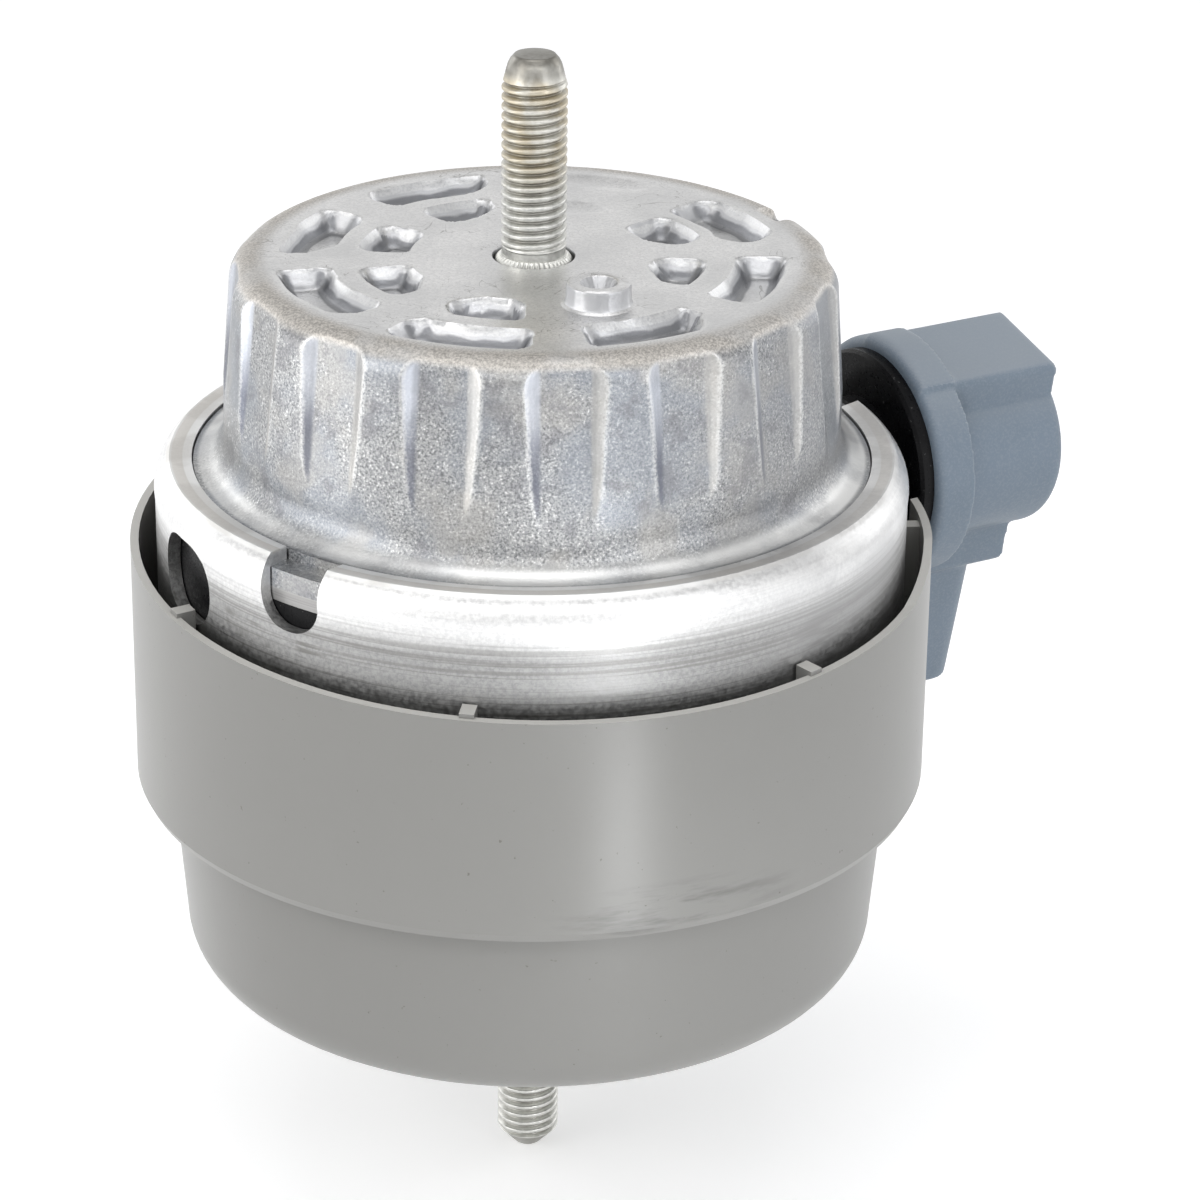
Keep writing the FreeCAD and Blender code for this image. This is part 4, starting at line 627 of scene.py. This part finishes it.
# Shallow sinks in the sector behind the stud
SINKS = ((1, 32.6, 39.0, 27, (3.0, 3.0, 3.0, 3.0)), (1, 19.5, 26.0, 24, (3.0, 3.0, 3.0, 3.0)))
SINK_DEPTH = 0.45
SINK_SLOPE = 1.2
# Inside of the cap from the foot of the flare: the flange, the bore and the boss round the stud
CAP_INSIDE = (
    (CAP_FLARE_R, 84.2), (CAP_FLARE_R, 83.25), (55.68, 83.25), (55.68, 80.25), (48.15, 80.25), (48.15, 82.85),
    (44.5, 82.85), (43.6, 86.85), (42.5, 107.3), (38.3, 111.5), (13.0, 111.5), (13.0, 106.0))


def soft_min(a, b, k):
    """Smaller of two values with a round of size k where they meet."""
    h = np.clip(0.5 + 0.5 * (b - a) / k, 0, 1)
    return b * (1 - h) + a * h - k * h * (1 - h)


def wavy(angle, r, seed, size):
    """Smooth irregular offset of the given size, for cast edges."""
    total = np.zeros_like(r)
    rng = np.random.default_rng(seed)
    for octave in range(1, 6):
        turn = rng.integers(3, 17) * octave
        shift = rng.uniform(0, math.tau, 2)
        total += np.sin(angle * turn + shift[0]) * np.cos(r * 0.35 * octave + shift[1]) / octave
    return size * total / 1.6


def cap_angles():
    """Angles of the cap's columns, close together at the walls of the side panels."""
    half_pitch = math.radians(PANEL_PITCH / 2) * CAP_TOP_R
    wall_from, wall_to = PANEL_FLOOR_WIDTH / 2 - 0.5, PANEL_MOUTH_WIDTH / 2 + 0.6
    places = np.concatenate([
        np.linspace(0, wall_from, 5)[:-1], np.linspace(wall_from, wall_to, 14)[:-1],
        np.linspace(wall_to, half_pitch, 3)])
    places = np.concatenate([-places[::-1], places[1:]])[:-1]
    turns = np.degrees(places / CAP_TOP_R)
    count = round(360 / PANEL_PITCH)
    return np.radians(np.concatenate([PORT_ANGLE + PANEL_PITCH * k + turns for k in range(count)]))[None, :]


def sunk(angle, r, pocket, full_depth, slope_width):
    """Depth of one pocket, with its corners cut and its walls sloped."""
    sector, inner, outer, spread, cuts = pocket
    plus_outer, plus_inner, minus_outer, minus_inner = cuts
    turn = (np.degrees(angle) - PORT_ANGLE - POCKET_PITCH * sector + 180) % 360 - 180
    along = (spread / 2 - np.abs(turn)) * math.radians(1) * r
    across = np.minimum(outer - r, r - inner)
    outward = r > (outer + inner) / 2
    plus_cut = np.where(outward, plus_outer, plus_inner)
    minus_cut = np.where(outward, minus_outer, minus_inner)
    cut = np.where(turn > 0, plus_cut, minus_cut)
    inside = soft_min(along, across, POCKET_CORNER_ROUND)
    inside = soft_min(inside, (along + across - cut) / math.sqrt(2), POCKET_CORNER_ROUND)
    inside = inside + wavy(angle, r, 3, POCKET_EDGE_WAVER)
    floor = full_depth + wavy(angle, r, 5, POCKET_FLOOR_WAVER) * full_depth / POCKET_DEPTH
    slope = soft_min(inside * full_depth / slope_width, floor, POCKET_FLOOR_ROUND)
    return np.maximum(slope, 0)


def pocket_depth(angle, r):
    """Depth of the two rings of pockets and of the shallow sinks below the cap's top."""
    depth = np.zeros_like(r)
    for pocket in POCKETS:
        depth = np.maximum(depth, sunk(angle, r, pocket, POCKET_DEPTH, POCKET_SLOPE))
    for pocket in SINKS:
        depth = np.maximum(depth, sunk(angle, r, pocket, SINK_DEPTH, SINK_SLOPE))
    return depth


def cap_profile():
    """Rows of (radius, height) from the collar hole over the top and the wall to the foot, then inside."""
    bore_r = STUD_PRESS_R + 0.02
    rows = [(bore_r, STUD_SEAT_Z), (bore_r, COLLAR_FLOOR_Z), (CAP_HOLE_R, COLLAR_FLOOR_Z)]
    rows += [(CAP_HOLE_R, TOP_Z - 0.25), (CAP_HOLE_R + 0.1, TOP_Z - 0.06)]
    rows += [(r, TOP_Z) for r in np.arange(CAP_HOLE_R + 0.25, CAP_TOP_R - CAP_EDGE_ROUND, 0.45)]
    corner = (CAP_TOP_R - CAP_EDGE_ROUND, TOP_Z - CAP_EDGE_ROUND)
    for a in np.linspace(90, 0, 18):
        t = math.radians(a)
        rows.append((corner[0] + CAP_EDGE_ROUND * math.cos(t), corner[1] + CAP_EDGE_ROUND * math.sin(t)))
    rows += [(CAP_TOP_R + (CAP_FOOT_R - CAP_TOP_R) * s, corner[1] - (corner[1] - CAP_FOOT_Z) * s)
             for s in np.linspace(0.1, 1, 10)]
    rows += [(CAP_FOOT_R, z) for z in np.arange(CAP_FOOT_Z - 0.8, FLARE_TOP_Z, -0.8)]
    for a in np.linspace(180, 270, 9):
        t = math.radians(a)
        rows.append((CAP_FLARE_R + FLARE_ROUND * math.cos(t), FLARE_TOP_Z + FLARE_ROUND * math.sin(t)))
    rows += CAP_INSIDE
    return np.array(rows)


def hollowness(surface, row_reach, column_reach):
    """How far each point of a height or radius grid lies below the points around it."""
    sides = (np.roll(surface, column_reach, 1) + np.roll(surface, -column_reach, 1)) / 2
    ends = (np.roll(surface, row_reach, 0) + np.roll(surface, -row_reach, 0)) / 2
    return np.maximum(sides, ends) - surface + np.minimum(np.minimum(sides, ends) - surface, 0)


def top_cap():
    """Cap with its pockets, side panels and the notch over the port."""
    profile = cap_profile()
    angle = cap_angles()
    r = profile[:, :1] + np.zeros_like(angle)
    z = profile[:, 1:] + np.zeros_like(angle)
    outside = (np.arange(len(profile)) < len(profile) - len(CAP_INSIDE))[:, None]
    on_top = outside & (z > TOP_Z - CAP_EDGE_ROUND - 0.01) & (r > CAP_HOLE_R + 0.2)
    z = np.where(on_top, z - pocket_depth(angle + 0 * r, r), z)
    share = np.clip((TOP_Z - z) / PANEL_HEIGHT, 0, 1)
    floor_r = (CAP_TOP_R - PANEL_DEPTH) * (1 - share) + (CAP_FOOT_R + 0.02) * share
    turn = (np.degrees(angle) - PORT_ANGLE + PANEL_PITCH / 2) % PANEL_PITCH - PANEL_PITCH / 2
    tangent = np.abs(np.sin(np.radians(turn)) * r) + wavy(angle, z, 11, PANEL_WAVER)
    flat_r = floor_r / np.cos(np.radians(turn))
    slope = PANEL_DEPTH * 2 / (PANEL_MOUTH_WIDTH - PANEL_FLOOR_WIDTH)
    side_r = floor_r + (tangent - PANEL_FLOOR_WIDTH / 2) * slope
    panel_r = -soft_min(-flat_r, -side_r, PANEL_FLOOR_ROUND)
    on_side = outside & (r > CAP_TOP_R - 3.6) & (z > FLARE_TOP_Z + 0.05)
    r = np.where(on_side, soft_min(r, panel_r, PANEL_EDGE_ROUND), r)
    notch_turn = (np.degrees(angle) - PORT_ANGLE + 180) % 360 - 180
    across = smoothstep(NOTCH_HALF_WIDTH + 0.4, NOTCH_HALF_WIDTH - 0.4, np.abs(np.radians(notch_turn) * r))
    in_notch = across * smoothstep(NOTCH_FROM_R - 0.45, NOTCH_FROM_R + 0.45, r)
    z = np.where(outside, z - in_notch * np.maximum(z - (TOP_Z - NOTCH_DEPTH), 0), z)
    on_face = on_top & (r < CAP_TOP_R - 3)
    hollow = np.where(on_face, hollowness(z, 2, 2), hollowness(r, 1, 3) * on_side)
    piece = ring_mesh("top_cap_cast", r[::-1], z[::-1], False, False, angle[0], hollow[::-1])
    return dress(piece, "cast_aluminium", "upper", "top_cap", sharp_angle=40)


top_cap()


def key_boss():
    """Turned locating boss with a conical recess and a filleted foot, cast on the cap's top."""
    foot = [(5.9, -0.25), (5.5, 0.04), (5.05, 0.3), (4.85, 0.75)]
    crown = [(4.8, 2.8), (4.7, 3.2), (4.4, 3.4), (3.1, 3.4)]
    recess = [(2.75, 3.2), (1.3, 1.3), (0.9, 0.9), (0.2, 0.8)]
    profile = np.array(foot + crown + recess) + (0, TOP_Z)
    angle = np.linspace(0, math.tau, 72, endpoint=False)[None, :]
    z = profile[:, 1:] + np.zeros_like(angle)
    r = profile[:, :1] + wavy(angle, z, 7, 0.06)
    piece = ring_mesh("key_boss_cast", r, z, True, True)
    a = math.radians(KEY_BOSS_ANGLE)
    piece.data.transform(Matrix.Translation((
        KEY_BOSS_DISTANCE * math.cos(a) * MM, KEY_BOSS_DISTANCE * math.sin(a) * MM, 0)))
    return dress(piece, "cast_aluminium", "upper")


def press_collar():
    """Narrow serrated ring round the stud's neck, its teeth at the level of the cap's top."""
    rows = [(4.4, -1.4), (4.7, 0.5), (5.0, 0.4), (5.25, 0.2), (5.6, -0.1), (5.85, -0.5), (5.85, -1.4)]
    profile = np.array(rows) + (0, TOP_Z)
    angle = np.linspace(0, math.tau, COLLAR_TEETH * 8, endpoint=False)[None, :]
    teeth = 0.5 + 0.5 * np.cos(angle * COLLAR_TEETH)
    share = np.array([0, 0, 0.1, 0.5, 1.0, 1.0, 1.0])[:, None]
    drop_share = np.array([0, 0, 0.1, 0.6, 1.0, 0.6, 0])[:, None]
    r = profile[:, :1] - COLLAR_TOOTH_DEPTH * teeth * share
    z = profile[:, 1:] - COLLAR_TOOTH_DROP * teeth * drop_share
    return dress(ring_mesh("stud_collar", r, z, False, False), "plated_steel", "upper", sharp_angle=20)


key_boss()
press_collar()

# Solenoid body: size of the voxels in millimetres, and how often the edges are smoothed
MOULD_VOXEL = 0.42
MOULD_ROUNDS = 3


def softened(node_name, slot, body):
    """Moulded piece from its CAD node: the same form with every edge rounded off."""
    rough = bpy.data.objects.new(node_name + "_rough", nodes[node_name].data.copy())
    bpy.context.scene.collection.objects.link(rough)
    remesh = rough.modifiers.new("remesh", "REMESH")
    remesh.mode = "VOXEL"
    remesh.voxel_size = MOULD_VOXEL * MM
    smooth = rough.modifiers.new("smooth", "SMOOTH")
    smooth.factor = 0.5
    smooth.iterations = MOULD_ROUNDS
    graph = bpy.context.evaluated_depsgraph_get()
    mesh = bpy.data.meshes.new_from_object(rough.evaluated_get(graph))
    mesh.name = node_name + "_moulded"
    mesh.materials.clear()
    bpy.data.objects.remove(rough)
    piece = bpy.data.objects.new(mesh.name, mesh)
    bpy.context.scene.collection.objects.link(piece)
    return dress(piece, slot, body, node_name, sharp_angle=60)


softened("solenoid_housing", "blue_grey_plastic", "upper")

# Camera, from the fit of the model to the photograph: its aim shift is in pixels
PHOTO_WIDTH = 1200
FOCAL_PIXELS = 4313.5
CAMERA_PLACE = Vector((0.0, -0.61443, 0.33494))
CAMERA_ELEVATION = math.radians(23.8085)
CAMERA_ROLL = math.radians(0.804)
AIM_SHIFT = (-68.738, -22.520)

# Floor: half its side in metres, and how much light it gives to the rays that see it
FLOOR_HALF = 6.0
FLOOR_GLOW = 0.38

# Soft boxes: name, place, aim, size in metres, power in watts and colour
MIDDLE = (0, 0, 0.07)
WHITE = (1, 1, 1)
LAMPS = (
    ("key_left", (-0.85, -0.5, 0.5), MIDDLE, (0.5, 0.9), 2.6, (1.0, 0.985, 0.96)),
    ("key_right", (0.75, -0.8, 0.45), MIDDLE, (0.35, 0.9), 1.5, (0.97, 0.98, 1.0)),
    ("overhead", (0.0, -0.1, 1.1), MIDDLE, (0.9, 0.6), 2.6, WHITE),
    ("front", (0.0, -0.95, 0.85), MIDDLE, (1.5, 0.22), 2.8, WHITE),
    ("back_right", (0.85, 0.5, 0.35), MIDDLE, (0.4, 0.6), 0.9, WHITE),
    ("back_left", (-0.75, 0.65, 0.35), MIDDLE, (0.4, 0.6), 0.9, WHITE),
    ("side_left", (-0.36, -0.05, 0.10), MIDDLE, (0.28, 0.22), 0.19, WHITE),
    ("side_right", (0.38, -0.12, 0.10), MIDDLE, (0.12, 0.22), 0.04, WHITE),
    ("low_front", (0.055, -0.235, 0.018), (0.0, 0.0, 0.09), (0.09, 0.05), 0.022, (0.96, 0.98, 1.0)),
    ("low_cup", (0.067, -0.166, -0.012), (0.0, 0.0, 0.03), (0.028, 0.04), 0.04, (0.98, 0.99, 1.0)),
)


def place_camera():
    """Camera whose axis is turned off the mount's axis by the aim shift."""
    data = bpy.data.cameras.new("camera")
    data.sensor_width = 36
    data.lens = FOCAL_PIXELS / PHOTO_WIDTH * data.sensor_width
    data.clip_start = 0.01
    data.clip_end = 50
    camera = bpy.data.objects.new("camera", data)
    bpy.context.scene.collection.objects.link(camera)
    right = Vector((1, 0, 0))
    ahead = Vector((0, math.cos(CAMERA_ELEVATION), -math.sin(CAMERA_ELEVATION)))
    up = right.cross(ahead)
    yaw = math.atan(AIM_SHIFT[0] / FOCAL_PIXELS)
    pitch = math.atan(AIM_SHIFT[1] / FOCAL_PIXELS)
    level = ahead * math.cos(yaw) - right * math.sin(yaw)
    aim = level * math.cos(pitch) + up * math.sin(pitch)
    aim.normalize()
    right = aim.cross(Vector((0, 0, 1))).normalized()
    up = right.cross(aim)
    x = right * math.cos(CAMERA_ROLL) + up * math.sin(CAMERA_ROLL)
    y = -right * math.sin(CAMERA_ROLL) + up * math.cos(CAMERA_ROLL)
    turn = Matrix((x, y, -aim)).transposed().to_4x4()
    camera.matrix_world = Matrix.Translation(CAMERA_PLACE) @ turn
    bpy.context.scene.camera = camera


def soft_box(name, place, aim, size, power, colour):
    """Area lamp that points at a place and isn't seen by the camera."""
    data = bpy.data.lights.new(name, "AREA")
    data.shape = "RECTANGLE"
    data.size, data.size_y = size
    data.energy = power
    data.color = colour
    lamp = bpy.data.objects.new(name, data)
    bpy.context.scene.collection.objects.link(lamp)
    lamp.location = place
    lamp.visible_camera = False
    lamp.rotation_euler = (Vector(aim) - Vector(place)).to_track_quat("-Z", "Y").to_euler()


def seen_rays(tree):
    """1 for camera, glossy and transmission rays, so that metal shows the background that is seen."""
    path = node(tree, "LightPath")
    looked = calc(tree, "MAXIMUM", path.outputs["Is Camera Ray"], path.outputs["Is Transmission Ray"])
    return calc(tree, "MAXIMUM", looked, path.outputs["Is Glossy Ray"])


def blend_factor(tree, fill, shown):
    """Mix of the world's two backgrounds into its output. Returns the factor's socket."""
    blend = node(tree, "MixShader")
    link(tree, fill.outputs[0], blend.inputs[1])
    link(tree, shown.outputs[0], blend.inputs[2])
    link(tree, blend.outputs[0], tree.nodes["World Output"].inputs["Surface"])
    return blend.inputs[0]


def surroundings():
    """World that is white to the camera and in reflections, darker overhead, and a dim fill for the rest."""
    world = bpy.data.worlds.new("studio")
    world.use_nodes = True
    bpy.context.scene.world = world
    tree = world.node_tree
    direction = node(tree, "SeparateXYZ")
    link(tree, node(tree, "TexCoord").outputs["Generated"], direction.inputs[0])
    shown = node(tree, "Background")
    sky = ramp(tree, direction.outputs[2], (0.0, 1.0), (0.12, 1.0), (0.5, 0.78), (1.0, 0.42))
    link(tree, sky, shown.inputs["Color"])
    fill = tree.nodes["Background"]
    fill.inputs["Color"].default_value = (0.97, 0.98, 1.0, 1)
    fill.inputs["Strength"].default_value = 0.5
    link(tree, seen_rays(tree), blend_factor(tree, fill, shown))


def pale_floor():
    """Pale floor under the lower stud, lifted to white for the rays that see it."""
    low_z = cad_box[0].z
    corners = [(x * FLOOR_HALF, y * FLOOR_HALF, low_z) for x, y in ((-1, -1), (1, -1), (1, 1), (-1, 1))]
    mesh = bpy.data.meshes.new("floor")
    mesh.from_pydata(corners, [], [(0, 1, 2, 3)])
    floor = bpy.data.objects.new("floor", mesh)
    bpy.context.scene.collection.objects.link(floor)
    material = bpy.data.materials.new("floor")
    material.use_nodes = True
    tree = material.node_tree
    shader = tree.nodes["Principled BSDF"]
    shader.inputs["Base Color"].default_value = (0.86, 0.86, 0.86, 1)
    shader.inputs["Roughness"].default_value = 0.9
    glow = node(tree, "Emission")
    link(tree, calc(tree, "MULTIPLY", seen_rays(tree), FLOOR_GLOW), glow.inputs["Strength"])
    both = node(tree, "AddShader")
    link(tree, shader.outputs[0], both.inputs[0])
    link(tree, glow.outputs[0], both.inputs[1])
    link(tree, both.outputs[0], tree.nodes["Material Output"].inputs["Surface"])
    mesh.materials.append(material)


bpy.context.scene.view_settings.view_transform = "Standard"
place_camera()
surroundings()
pale_floor()
for lamp_values in LAMPS:
    soft_box(*lamp_values)
